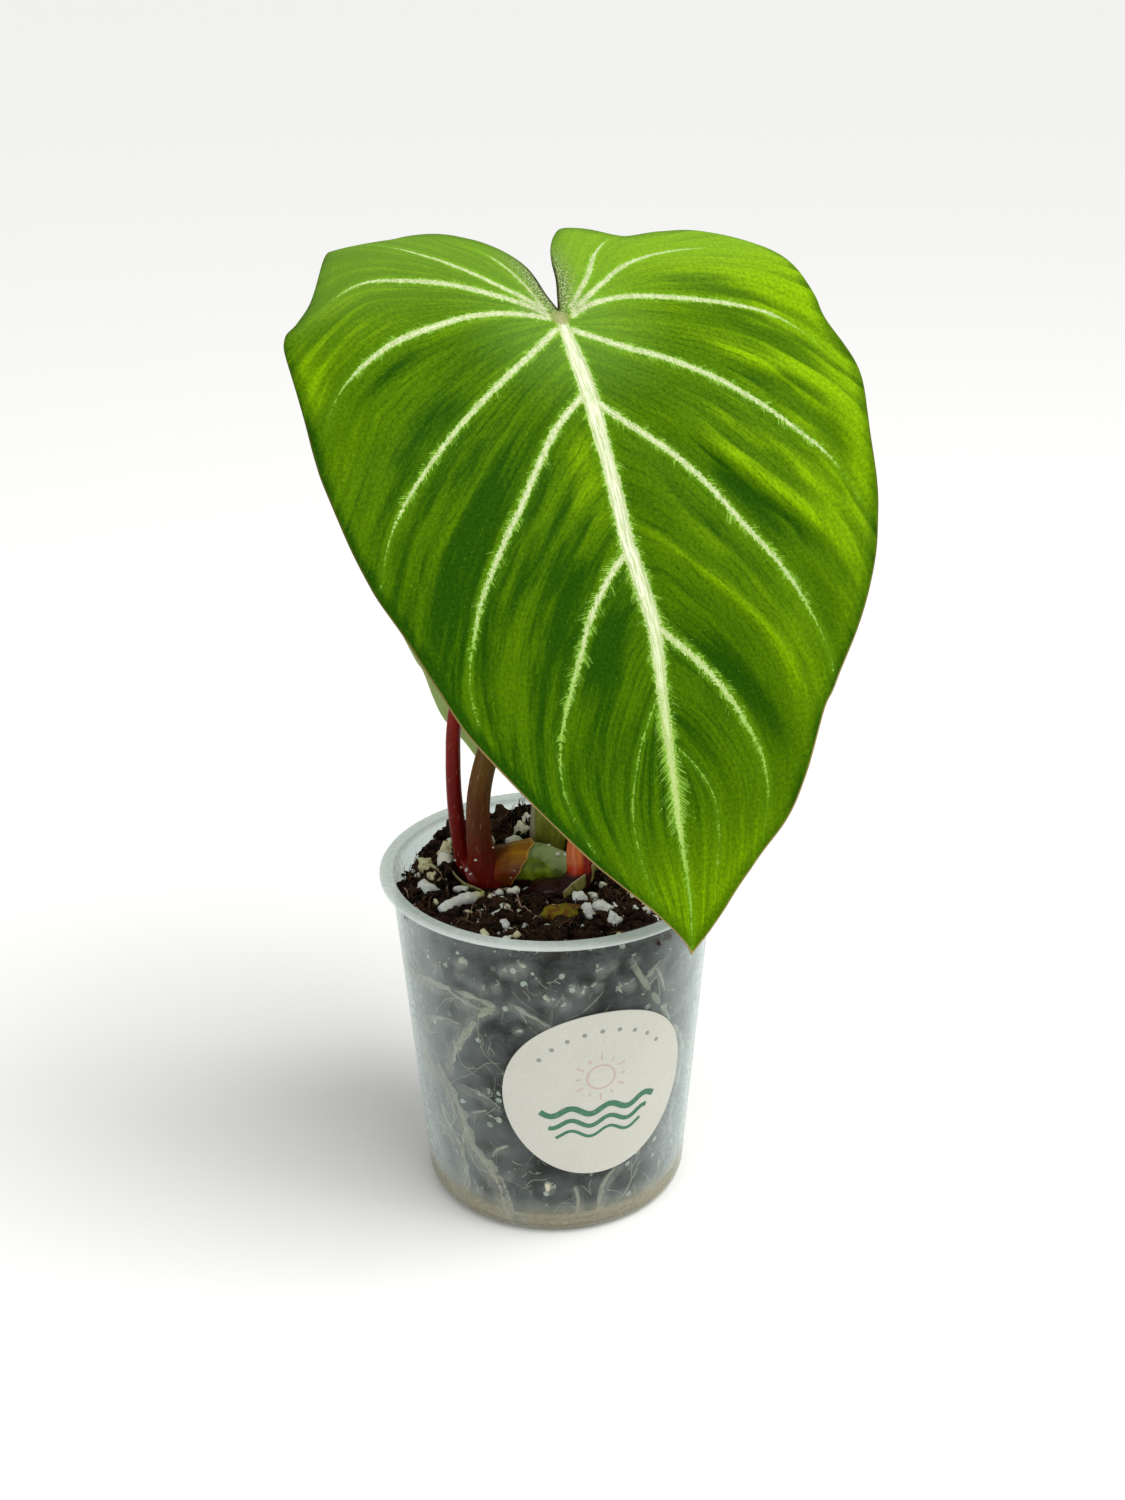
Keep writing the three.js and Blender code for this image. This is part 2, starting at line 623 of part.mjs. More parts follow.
const smallEnd = HUB_HEIGHT + (0.325 + GAP) / SMALL_BLADE_SCALE;
const smallStalk = [
  ...vectors([[-22.5, 10.5, 82], [-25, 11.5, 97], [-25.8, 13, 112], [-24.5, 17, 130]]),
  ...vectors([[-18, 23, 146]]),
  underJoint(leafSmall, smallEnd + 14),
  underJoint(leafSmall, smallEnd),
];
const SMALL_STALK = through([1.3, 1.02, 0.95, 0.85, 0.75, 0.68, 0.62]);
const smallRadius = (u) => SMALL_STALK_RADIUS * SMALL_STALK(u);

const largeStalkSolid = (extra) => solid(stem(largeStalk, largeRadius, 10, 16, extra));
const smallStalkSolid = (extra) => solid(stem(smallStalk, smallRadius, 8, 14, extra));
const shootSolid = (extra) => solid(stem(NEW_SHOOT, NEW_SHOOT_RADIUS, 10, 8, extra));
const stubSolid = (extra) => solid(stem(OLD_STUB, OLD_STUB_RADIUS, 10, 6, extra));
const rhizomeSolid = (extra) => solid(stem(RHIZOME, RHIZOME_RADIUS, 14, 10, extra));

// The papery sheath hugs the rhizome behind the newest stalks, and flares at its front end.
const sheathSolid = (extra) =>
  solid(stem([SHEATH[0], SHEATH[1]], through([7, 6.6]), 14, 3, extra));

const stalksSolid = largeStalkSolid(0);
plant.add(piece("stalk_large", geometryOf(stalksSolid), "#6b4a1c", 0.45));
const smallStalkBody = smallStalkSolid(0).subtract(largeStalkSolid(GAP));
plant.add(piece("stalk_small", geometryOf(smallStalkBody), "#8c1f14", 0.45));

const rhizome = rhizomeSolid(0).subtract(largeStalkSolid(GAP)).subtract(smallStalkSolid(GAP));
plant.add(piece("rhizome", geometryOf(rhizome), "#5d7a2c", 0.5));

const sheath = sheathSolid(0)
  .subtract(rhizomeSolid(GAP))
  .subtract(largeStalkSolid(GAP))
  .subtract(smallStalkSolid(GAP));
plant.add(piece("sheath", geometryOf(sheath), "#a8691f", 0.6));

const shoot = shootSolid(0).subtract(rhizomeSolid(GAP)).subtract(sheathSolid(GAP));
plant.add(piece("new_shoot", geometryOf(shoot), "#c8481e", 0.4));

const stub = stubSolid(0).subtract(rhizomeSolid(GAP)).subtract(sheathSolid(GAP));
plant.add(piece("old_stub", geometryOf(stub), "#8a8f3c", 0.5));

const crown = rootsSolid(0).subtract(rhizomeSolid(GAP)).subtract(sheathSolid(GAP));
plant.add(piece("roots", geometryOf(crown), "#d9cfa6", 0.7));

let soil = withPerlite(soilBody(40, 7), overRhizome);
for (const standing of [rhizomeSolid, sheathSolid, largeStalkSolid, smallStalkSolid, shootSolid]) {
  soil = soil.subtract(standing(GAP));
}
soil = soil.subtract(stubSolid(GAP)).subtract(rootsSolid(GAP));
plant.add(piece("soil", geometryOf(soil), "#2a1d15", 0.95));

plant.add(piece("pot", potGeometry(), "#dfe9ee", 0.3, 0.45));
plant.add(piece("label", labelGeometry(), "#f6f3ef", 0.75));

export default plant;
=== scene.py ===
# %% [markdown]
# # A velvet-leaved philodendron in a clear nursery pot
#
# This lesson dresses a finished CAD model of a small potted aroid. The CAD model gives the true
# sizes and places. Here each of its plain solids gets a finer piece in the same spot, and each
# piece gets a material that is built up from what the real surface is made of.
#
# The first cell loads the CAD model. It stays fixed, and its box is kept so that the dressed
# plant can be compared with it at the end.

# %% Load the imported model
import math
import random
from functools import partial
from types import SimpleNamespace

import bmesh
import bpy
import numpy as np
from mathutils import Matrix, Vector, noise
from mathutils.bvhtree import BVHTree
from mathutils.geometry import delaunay_2d_cdt


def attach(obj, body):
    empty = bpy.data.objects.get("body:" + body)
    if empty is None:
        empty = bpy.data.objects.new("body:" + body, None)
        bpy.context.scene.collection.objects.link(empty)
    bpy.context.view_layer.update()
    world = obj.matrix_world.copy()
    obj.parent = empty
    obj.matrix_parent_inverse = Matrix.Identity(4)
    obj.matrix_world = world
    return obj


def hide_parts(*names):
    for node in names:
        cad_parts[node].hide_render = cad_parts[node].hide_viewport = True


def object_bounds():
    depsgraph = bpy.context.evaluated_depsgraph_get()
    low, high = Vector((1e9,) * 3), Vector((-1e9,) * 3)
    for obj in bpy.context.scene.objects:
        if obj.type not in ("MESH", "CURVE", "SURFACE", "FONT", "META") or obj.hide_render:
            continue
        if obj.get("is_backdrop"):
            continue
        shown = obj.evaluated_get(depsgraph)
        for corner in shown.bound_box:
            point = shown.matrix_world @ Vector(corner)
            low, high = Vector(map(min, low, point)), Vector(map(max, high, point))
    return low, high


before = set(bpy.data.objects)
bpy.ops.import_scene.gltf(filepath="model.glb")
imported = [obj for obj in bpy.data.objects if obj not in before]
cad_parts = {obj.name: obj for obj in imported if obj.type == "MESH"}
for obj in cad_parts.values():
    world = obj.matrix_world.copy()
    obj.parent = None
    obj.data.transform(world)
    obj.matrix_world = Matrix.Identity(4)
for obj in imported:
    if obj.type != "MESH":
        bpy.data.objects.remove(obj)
cad_box = [list(corner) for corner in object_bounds()]
print("CAD nodes:", sorted(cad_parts))

# %% [markdown]
# ## Three small tools
#
# Every colour below is written as an sRGB hex value, the way a paint chart gives it, but Blender
# mixes light in linear values, so one function turns one into the other. A second function adds
# a shader node with its settings and its links in one line, and hands back the node's output. A
# third starts a material, so that each finish only has to say what is special about it.

# %% Colours, nodes and materials
MM = 0.001
# What the nodes of this plant share: a MapRange fades softly, and a Mix blends colours.
USUAL = {"MapRange": {"interpolation_type": "SMOOTHSTEP"}, "Mix": {"data_type": "RGBA"}}


def srgb(code):
    """A hex colour as the linear RGBA that Blender's sockets hold."""
    parts = [int(code[i : i + 2], 16) / 255 for i in (1, 3, 5)]
    return [p / 12.92 if p < 0.04045 else ((p + 0.055) / 1.055) ** 2.4 for p in parts] + [1]


def fill(node, inputs):
    """Fills a node's inputs, by name or number, with a link, a colour or a number."""
    for name, value in inputs.items():
        socket = node.inputs[name.replace("_", " ") if isinstance(name, str) else name]
        if isinstance(value, bpy.types.NodeSocket):
            node.id_data.links.new(value, socket)
        else:
            socket.default_value = srgb(value) if isinstance(value, str) else value


def add_node(tree, kind, *values, out=None, **settings):
    """Adds a shader node and returns its first output in use, or the one that out names. The
    values go to the inputs in use, in order, and a setting with an input's name goes to that
    input. A kind in capitals is a Math operation. Given more than two values, it takes a row
    of such nodes."""
    is_math = kind.isupper()
    if is_math and len(values) > 2:
        values = add_node(tree, kind, *values[:-1]), values[-1]
    made = tree.nodes.new("ShaderNodeMath" if is_math else "ShaderNode" + kind)
    settings = {**USUAL.get(kind, {}), **({"operation": kind} if is_math else {}), **settings}
    for name in [name for name in settings if name not in made.inputs]:
        setattr(made, name, settings.pop(name))
    in_use = [number for number, socket in enumerate(made.inputs) if socket.enabled]
    fill(made, {**dict(zip(in_use, values)), **settings})
    return made.outputs[out] if out else next(o for o in made.outputs if o.enabled)


def new_material(name, roughness, ior=1.5, gloss=0.5, **surface):
    """A material whose one Principled shader takes the values given, with what adds nodes."""
    material = bpy.data.materials.new(name)
    material.use_nodes = True
    shader = material.node_tree.nodes["Principled BSDF"]
    fill(shader, dict(Roughness=roughness, IOR=ior, Specular_IOR_Level=gloss, **surface))
    return material, partial(add_node, material.node_tree), shader


print("1 mm is", MM, "of Blender's metres")

# %% [markdown]
# ## Turning lists of points into pieces
#
# Plants are easiest to build from points that a formula gives, because a leaf edge or a root is
# a curve and not a box. These helpers take points in millimetres, make a smooth shaded mesh in
# metres, and store extra numbers on each point. A material can read such a number later, for
# example to know how far a spot on the leaf is from the nearest vein.

# %% Meshes and curves from points
def piece(name, points, faces, materials, numbers=None, face_material=None, smooth=True):
    """A mesh object from points in millimetres, riding on the plant's one body."""
    mesh = bpy.data.meshes.new(name)
    mesh.from_pydata((np.asarray(points) * MM).tolist(), [], [list(f) for f in faces])
    for material in materials:
        mesh.materials.append(material)
    if face_material is not None:
        mesh.polygons.foreach_set("material_index", np.asarray(face_material, dtype=np.int32))
    mesh.polygons.foreach_set("use_smooth", np.full(len(mesh.polygons), smooth))
    for key, values in (numbers or {}).items():
        values = np.asarray(values, dtype=np.float32)
        kind, field = ("FLOAT", "value") if values.ndim == 1 else ("FLOAT_VECTOR", "vector")
        mesh.attributes.new(key, kind, "POINT").data.foreach_set(field, values.ravel())
    mesh.validate()
    made = bpy.data.objects.new(name, mesh)
    bpy.context.scene.collection.objects.link(made)
    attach(made, "root")
    return made


def evenly(path, spacing):
    """The same path with points about the given distance apart."""
    steps = np.linalg.norm(np.diff(path, axis=0), axis=1)
    length = np.concatenate([[0], np.cumsum(steps)])
    at = np.linspace(0, length[-1], max(2, round(length[-1] / spacing) + 1))
    return np.column_stack([np.interp(at, length, column) for column in path.T])


def hermite(b, c, leave, arrive):
    """24 points on the cubic curve from b towards c, with the steps it leaves and arrives by."""
    u = np.linspace(0, 1, 24, endpoint=False)[:, None]
    cubic = (2 * b - 2 * c + leave + arrive) * u**3
    return cubic + (3 * c - 3 * b - 2 * leave - arrive) * u**2 + leave * u + b


def flowing(points, spacing):
    """A smooth curve through all the points, with evenly spaced points of its own."""
    p = np.array(points, dtype=float)
    p = np.vstack([p[0], p, p[-1]])
    fours = zip(p, p[1:], p[2:], p[3:])
    rows = [hermite(b, c, (c - a) / 2, (d - b) / 2) for a, b, c, d in fours]
    return evenly(np.vstack([*rows, p[-1:]]), spacing)


def loop_edges(count, start=0):
    """The edges of a closed ring of points that begins at start."""
    return [(start + k, start + (k + 1) % count) for k in range(count)]


def ring_faces(rings, sides, start=0):
    """Four-sided faces between rings of points that follow each other."""
    lower = [loop_edges(sides, start + ring * sides) for ring in range(rings - 1)]
    return [(a, b, b + sides, a + sides) for ring in lower for a, b in ring]


def tube(path, radii, sides=12):
    """Points, faces and surface places of a round stem along a path. The place holds the
    millimetres round the stem and the millimetres along it."""
    path = np.asarray(path, dtype=float)
    tangents = np.gradient(path, axis=0)
    tangents /= np.linalg.norm(tangents, axis=1)[:, None]
    along = np.concatenate([[0], np.cumsum(np.linalg.norm(np.diff(path, axis=0), axis=1))])
    radii = np.interp(np.linspace(0, 1, len(path)), np.linspace(0, 1, len(radii)), radii)
    first = np.cross(tangents[0], [0.3, 1, 0.2])
    across = first / np.linalg.norm(first)
    points, places = [], []
    for centre, tangent, radius, reach in zip(path, tangents, radii, along):
        across = across - tangent * np.dot(across, tangent)
        across /= np.linalg.norm(across)
        other = np.cross(tangent, across)
        for k in range(sides):
            angle = 2 * math.pi * k / sides
            spoke = across * math.cos(angle) + other * math.sin(angle)
            points.append(centre + spoke * radius)
            places.append([angle * radius, reach, radius])
    top = (len(path) - 1) * sides
    caps = [tuple(range(sides - 1, -1, -1)), tuple(range(top, top + sides))]
    return np.array(points), ring_faces(len(path), sides) + caps, np.array(places)


def merged(parts):
    """One list of points, faces and places from several."""
    points, faces, places, start = [], [], [], 0
    for some_points, some_faces, some_places in parts:
        points.append(some_points)
        faces += [tuple(start + i for i in face) for face in some_faces]
        places.append(some_places)
        start += len(some_points)
    return np.vstack(points), faces, np.vstack(places)


print("a ring of four points has the edges", loop_edges(4))

# %% [markdown]
# ## Camera, floor and light
#
# The camera stands a little under half a metre in front of the plant and looks slightly down on
# it. A 48 mm lens keeps the upright lines almost straight. The floor is a plain pale sheet, and
# the light is what a bright overcast window gives: a large soft lamp from above and the right,
# a weaker one from the left, and an even pale sky that fills the shadows.

# %% Place the camera
camera_data = bpy.data.cameras.new("camera")
camera_data.lens = 48
camera_data.sensor_width = 36
camera = bpy.data.objects.new("camera", camera_data)
bpy.context.scene.collection.objects.link(camera)
# The focal length and the middle of the view, in the frame's own pixels.
FOCAL, VIEW_X, VIEW_Y = 2000, 562.5, 750
right = Vector((0.999937, -0.004547, -0.010296))
up = Vector((0.011255, 0.403943, 0.914715))
back = Vector((0.0, -0.914773, 0.403969))
place = Vector((2.967, -464.803, 329.251)) * MM
camera.matrix_world = Matrix.Translation(place) @ Matrix((right, up, back)).transposed().to_4x4()
bpy.context.scene.camera = camera
print("camera is", round(place.length, 3), "m from the foot of the pot")

# %% Light and floor
floor_mesh = bpy.data.meshes.new("floor")
floor_mesh.from_pydata([(-9, -3, 0), (9, -3, 0), (9, 15, 0), (-9, 15, 0)], [], [(0, 1, 2, 3)])
floor = bpy.data.objects.new("floor", floor_mesh)
bpy.context.scene.collection.objects.link(floor)
floor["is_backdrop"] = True
floor_paper, _, _ = new_material("matte_floor_sheet", 0.9, Base_Color="#f4f4f2")
floor_mesh.materials.append(floor_paper)

world = bpy.data.worlds.new("pale_sky")
world.use_nodes = True
sky = world.node_tree.nodes["Background"]
sky.inputs["Color"].default_value = srgb("#ffffff")
sky.inputs["Strength"].default_value = 0.5
bpy.context.scene.world = world
bpy.context.scene.view_settings.view_transform = "Standard"

sun_data = bpy.data.lights.new("overcast_sun", "SUN")
sun_data.energy = 1.8
sun_data.angle = math.radians(55)
sun = bpy.data.objects.new("overcast_sun", sun_data)
bpy.context.scene.collection.objects.link(sun)
sun.rotation_euler = (math.radians(12), math.radians(28), 0)


def lamp(name, at, size, watts, color="#ffffff"):
    """A square area lamp that looks at the middle of the plant."""
    data = bpy.data.lights.new(name, "AREA")
    data.size = size
    data.energy = watts
    data.color = srgb(color)[:3]
    made = bpy.data.objects.new(name, data)
    bpy.context.scene.collection.objects.link(made)
    made.location = at
    aim = Vector((0, 0, 0.13)) - Vector(at)
    made.rotation_euler = aim.to_track_quat("-Z", "Y").to_euler()
    return made


lamp("window", (0.45, -0.1, 0.9), 0.45, 3.2)
lamp("left_fill", (-0.7, -0.7, 0.45), 0.5, 1.7)

# %% [markdown]
# ## The blade as a flat map
#
# A leaf grows flat and then bends, so it is drawn flat first. One coordinate, s, runs down the
# midrib from the stalk to the tip, and the other, t, runs across it. The edge and the main veins
# are short lists of places on this map. Their curves are the lines that give the species its
# look: the vein pairs leave the stalk like fingers and bow forward to the edge.

# %% Edge and veins
BLADE_LENGTH = 158.5
LEFT_EDGE = [
    [-2.6, -0.5], [-5.2, 0.2], [-8.2, 0.9], [-18.3, 2.4], [-28.5, 7.7], [-35.1, 14.4],
    [-39.2, 24.5], [-44.7, 34], [-46, 37.8], [-40.2, 45.5], [-19.2, 57.2], [-9.8, 63.5],
    [-4.7, 67.8], [2.6, 69.5], [19.7, 68.3], [34.7, 68.9], [48.7, 67.1], [61, 63], [73.8, 57.4],
    [85, 53], [98.5, 47], [115.4, 35.9], [133.6, 21.9], [146.1, 10.4], [155, 3.6],
]
RIGHT_EDGE = [
    [-2.6, 0.5], [-6.7, 1.7], [-12.3, 3.4], [-18.6, 4.7], [-24.5, 6.9], [-30.1, 10.5],
    [-32.9, 13.9], [-31.5, 19.4], [-27.8, 26.5], [-26.7, 31.3], [-26.9, 47.3], [-26.3, 54.2],
    [-23.4, 58.2], [-11, 65.9], [3.2, 68.3], [10.4, 68.4], [24.9, 71.2], [42.8, 67.1],
    [62.5, 64.2], [81.1, 56.7], [100.5, 44.5], [106.9, 39.6], [121.2, 32.3], [131.2, 25.7],
    [141.5, 14.6], [153.8, 3],
]
# Each vein: its widths in millimetres from start to end, then its places.
MIDRIB = (
    [2.4, 4.1, 4.3, 3.6, 3.5, 3.6, 3.7, 3.1, 2.4, 1.9, 1.5, 0.8, 0.35, 0.0],
    [
        [0, 0], [10, -0.1], [22, 0.3], [34, 0], [46, 0.1], [58, 0], [70, 1.3], [80, 2.3],
        [90, 1.7], [102, 0.9], [115, 0.4], [130, -0.2], [145, -0.4], [157, -1.8],
    ],
)
LEFT_VEINS = [
    ([0.8, 0.75, 0.6, -0.5], [[-3, -3], [-13, -5.8], [-19, -8], [-25, -11], [-30, -14.8]]),
    ([1.25, 1.2, 1.0, 0.6, -0.4], [
        [-3, -3], [-11.2, -11.8], [-16.6, -17.3], [-22.2, -23.5], [-27, -29.8], [-31, -35.5],
        [-35.5, -40],
    ]),
    ([1.32, 1.3, 1.1, 0.6, -0.6], [
        [-1, -3], [-5, -8], [-13.3, -23.4], [-17.4, -34.6], [-19.5, -43.5], [-17.5, -51],
        [-9, -61.5],
    ]),
    ([1.32, 1.45, 1.35, 0.8, -0.8], [
        [0, -3], [-2.3, -12], [-2.6, -22], [-0.6, -32], [2.6, -43.6], [8.1, -54.1], [14, -60.6],
        [22, -64.8],
    ]),
    ([1.45, 1.25, 1.0, 0.75, -0.3], [
        [3.6, -2.4], [10.7, -12.3], [17.4, -22.2], [28.3, -36.6], [40.7, -49.6], [50.4, -56.8],
        [61, -61],
    ]),
    ([1.5, 1.35, 1.1, 0.7, -0.4], [
        [21.5, -0.5], [29.4, -10.2], [38.6, -17.8], [48.1, -24.7], [57.7, -32], [68, -38.5],
        [79, -43], [87, -45], [96, -44.6],
    ]),
    ([1.4, 1.2, 0.8, 0.3, -0.6], [
        [61.5, 0.3], [65.3, -4.6], [74.6, -12.3], [85.1, -17.9], [96, -23.2], [104.5, -26.4],
        [114, -27.3], [123, -25.2], [131, -21.9],
    ]),
    ([0.3, 0.2, 0.0, -0.6], [
        [95, 1], [103, -4], [111, -8], [122, -11.3], [134, -11.2], [146, -8.6],
    ]),
]
RIGHT_VEINS = [
    ([1.0, 1.1, 1.0, 0.6, -0.4], [
        [-3, 4], [-12, 11.9], [-17.3, 15.2], [-21.9, 19.1], [-25.5, 23.4], [-28, 28],
    ]),
    ([1.2, 1.15, 0.9, 0.55, -0.3], [
        [-1.5, 4], [-8.3, 13.8], [-14.6, 23.9], [-17.2, 35.2], [-16.8, 47], [-14, 55],
    ]),
    ([1.25, 1.3, 1.1, 0.8, -0.3], [
        [0, 3.4], [-2.6, 9.3], [-3.3, 18], [-1.9, 26.7], [1, 38.2], [4, 47.5], [7.9, 55.2],
        [14, 61.2], [21.5, 65.6],
    ]),
    ([1.5, 1.35, 1.1, 0.75, -0.6], [
        [4.3, 2], [10.4, 11.7], [16, 22.3], [22.7, 32.3], [30.7, 41.2], [39.6, 49.2], [49.1, 56.4],
        [63, 61.5],
    ]),
    ([1.5, 1.35, 1.15, 0.85, -0.3], [
        [22.5, 0.5], [27, 3.9], [31.4, 8], [40, 16.3], [49.6, 23.5], [60.1, 29.7], [70.3, 36],
        [81.2, 40.7], [92.6, 43.8], [98, 44],
    ]),
    ([1.4, 1.25, 0.9, 0.35, -0.7], [
        [78.5, 1.5], [82.3, 4.6], [91.3, 12.2], [101.7, 18.2], [112.8, 22.3], [118.7, 23],
        [124.6, 22.5], [134.4, 19.7],
    ]),
    ([0.3, 0.2, 0.0, -0.6], [[107, 0.8], [114, 6], [122, 9.3], [131, 9.2], [141, 6.8]]),
]
TIP = [BLADE_LENGTH, -2.2]
# Soft crests (above zero) and valleys (below) between the veins: the height, the half width and
# the places of each.
CRESTS = [
    (1.0, 2.6, [[10, 30.8], [16.5, 39.5], [22.3, 48.7], [27.2, 57.7], [33.1, 63], [40.2, 65.3]]),
    (1.0, 2.3, [
        [31.3, 18.3], [40.5, 26.7], [47.2, 34.3], [55.2, 41.7], [62.4, 48.5], [70.7, 52.8],
    ]),
    (0.6, 1.8, [[31.5, 29.4], [38.6, 38.4], [46, 45.9], [55.7, 52.7], [64.6, 57.5]]),
    (0.9, 1.2, [[63.6, 11.3], [71.5, 18.9], [80.9, 26], [89.8, 31.8], [99.1, 34.5], [107.3, 35.2]]),
    (0.3, 4.0, [[70, 22], [82, 32], [95, 38], [108, 37]]),
    (0.7, 2.6, [[-10, 38], [-7, 48], [-1, 58], [5.8, 64.3], [12.6, 66]]),
    (0.5, 4.0, [[34.8, 63.2], [43.2, 65.2], [53.1, 64], [61.1, 62.3]]),
    (-1.0, 2.8, [[2, 34], [6, 43], [13.7, 52.3], [19, 58.5], [25, 63.5]]),
    (-0.9, 2.4, [[21, 37], [27.5, 48.4], [33.2, 52.8], [39.4, 56.5], [46.8, 59.2], [52.3, 59.8]]),
    (-1.3, 3.0, [
        [36, 18], [39, 22.4], [48.7, 29.2], [56.4, 35], [63.4, 41.1], [68.8, 46.8], [75.4, 50],
    ]),
    (-0.6, 2.6, [[69.2, 39.7], [75.7, 43.5], [83.5, 45.6], [92, 45]]),
    (-0.9, 3.6, [[81.2, 10.7], [91.8, 17.7], [100.2, 23.7], [109.7, 27.8], [121, 27]]),
    (-0.8, 2.4, [[-8, 27], [-5, 36], [-2, 44], [4, 53]]),
    (-0.5, 1.6, [[37.8, 43.3], [46.8, 50.3], [55.3, 55.2], [61.9, 59]]),
    (-0.7, 1.6, [[2.8, -36.3], [6.3, -42.2], [10.3, -48.2], [13.7, -52.2]]),
    (-0.9, 4.0, [[16.8, -29.7], [21.8, -37.7], [26, -44.6], [32.7, -50.3], [39.3, -54.3]]),
    (-1.0, 5.0, [
        [33.7, -19.2], [40.7, -27.7], [47.7, -35.1], [54.7, -40.7], [62, -44.6], [80.8, -49.2],
    ]),
    (-0.8, 5.0, [[60, -10], [68, -16], [78, -20], [88, -22]]),
    (-1.1, 3.5, [[72.5, -3.9], [79.7, -8.8], [87.2, -12.2], [94.6, -14.5]]),
    (1.0, 5.0, [[-2, -68], [4.3, -66.3], [13.2, -64.8], [20, -64.1]]),
    (0.8, 4.0, [[-17, -44.7], [-11, -54.1], [-6, -60.6]]),
    (0.6, 6.0, [[16.4, -48], [26.8, -58.8], [39.3, -63.7], [51.2, -64.8]]),
    (0.5, 4.0, [[37.7, -31.8], [46.5, -42.1], [53.3, -48.3], [60.5, -53]]),
    (1.2, 5.0, [[28.3, -7.3], [38.7, -6.8], [48.7, -6.8], [55.3, -11.2]]),
    (0.5, 4.0, [[66, -22], [76.7, -29], [87.8, -32.3]]),
    (0.6, 6.0, [[83.5, -33.9], [94.9, -36], [102.7, -35.8]]),
]
print(len(LEFT_VEINS), "veins left,", len(RIGHT_VEINS), "right, and the midrib")

# %% [markdown]
# ## From the flat map to the bent blade
#
# The blade bends in three ways at once. Its midrib arches over from a gentle slope at the stalk
# to a steep one at the tip. Each half rises from the midrib and droops at its edge. The rear
# lobes fold down past the stalk, more on the right than on the left. The same numbers shape the
# solid in the CAD model, so the fine blade lies where the solid does.

# %% The bending formula
def slope_at(s):
    """How steeply the midrib runs down at a place along it, in radians."""
    return np.radians(71 - (71 - 38.5) * np.exp(-s / 55))


course_s = np.arange(-60, BLADE_LENGTH + 11)
course_slope = slope_at(course_s[:-1] + 0.5)
course_out = np.concatenate([[0], np.cumsum(np.cos(course_slope))])
course_down = np.concatenate([[0], np.cumsum(-np.sin(course_slope))])
LEFT_HALF = dict(droop=(3.0, 3.4), fold=(0.014, 33.2, 16.6), wave=(2.1, 88, 38))
RIGHT_HALF = dict(droop=(1.2, -2.5), fold=(0.029, 27, 36), wave=(0.9, 78, 47))


def blade_at(s, t, relief):
    """Points of the bent blade and their upward directions, in the blade's own frame. relief is
    the height of the quilting above the smooth sheet."""
    out = np.interp(s, course_s, course_out) - np.interp(0, course_s, course_out)
    down = np.interp(s, course_s, course_down) - np.interp(0, course_s, course_down)
    left = t < 0
    across = np.abs(t)
    share = np.clip(s / 165, -0.4, 1)

    def pick(key, i):
        return np.where(left, LEFT_HALF[key][i], RIGHT_HALF[key][i])

    rise = np.radians(4 + 1.7 * share)
    bend = (pick("droop", 0) + (pick("droop", 1) - pick("droop", 0)) * share) / 1000
    bend = np.where(np.abs(bend) < 1e-6, 1e-6, bend)
    sideways = (np.sin(rise) - np.sin(rise - bend * across)) / bend
    height = (np.cos(rise - bend * across) - np.cos(rise)) / bend
    bearing = np.degrees(np.arctan2(across, -s))
    reach = np.hypot(s, t)
    over = reach - pick("fold", 1) - pick("fold", 2) * np.clip(bearing / 90, 0, 1.2)
    rear = np.clip((105 - bearing) / 35, 0, 1)
    rear = rear * rear * (3 - 2 * rear)
    height -= pick("fold", 0) * np.maximum(over, 0) ** 2 * rear
    swell = np.clip((bearing - 25) / 20, 0, 1) * np.clip((150 - bearing) / 40, 0, 1)
    phase = 2 * np.pi * (bearing - pick("wave", 1)) / pick("wave", 2)
    height += pick("wave", 0) * np.cos(phase) * (reach / 60) ** 2 * swell + relief
    slope = slope_at(s)
    twist = np.radians(0.8 + 5.7 * s / 165)
    zero = np.zeros_like(s)
    upright = np.column_stack([zero, -np.sin(slope), np.cos(slope)])
    sin, cos = np.sin(twist)[:, None], np.cos(twist)[:, None]
    over_axis = np.column_stack([np.cos(twist), zero, zero]) + upright * sin
    normal = np.column_stack([-np.sin(twist), zero, zero]) + upright * cos
    points = np.column_stack([zero, -out, down])
    points = points + over_axis * (np.sign(t) * sideways)[:, None] + normal * height[:, None]
    return points, normal


# %% [markdown]
# ## Measuring every spot of the blade
#
# The pattern of the leaf depends on where a spot lies: how far from the nearest vein, between
# which two veins, how near the edge. These distances are measured once in the mesh code and
# stored on the points. A lane is the strip between two side veins, and the lane number grows
# evenly across it, so lines of equal lane number run side by side with the veins, just as the
# fine nerves of the real leaf do.

# %% Distances on the flat map
def to_line(places, line):
    """The distance to a line of points, the length along it, and the side (1 left, -1 right)."""
    nearest = np.full(len(places), np.inf)
    along = np.zeros(len(places))
    side = np.zeros(len(places))
    run = 0.0
    for a, b in zip(line, line[1:]):
        step = b - a
        length = np.hypot(*step)
        rel = places - a
        share = np.clip(rel @ step / length**2, 0, 1)
        gap = rel - share[:, None] * step
        distance = np.hypot(gap[:, 0], gap[:, 1])
        closer = distance < nearest
        nearest[closer] = distance[closer]
        along[closer] = run + share[closer] * length
        side[closer] = np.sign(step[0] * rel[closer, 1] - step[1] * rel[closer, 0])
        run += length
    return nearest, along, side


def inside(places, loop):
    """True for the places inside a closed loop of points."""
    result = np.zeros(len(places), dtype=bool)
    x, y = places[:, 0], places[:, 1]
    for (x0, y0), (x1, y1) in zip(loop, np.roll(loop, -1, axis=0)):
        crosses = (y0 > y) != (y1 > y)
        with np.errstate(divide="ignore", invalid="ignore"):
            result ^= crosses & (x < (x1 - x0) * (y - y0) / (y1 - y0) + x0)
    return result


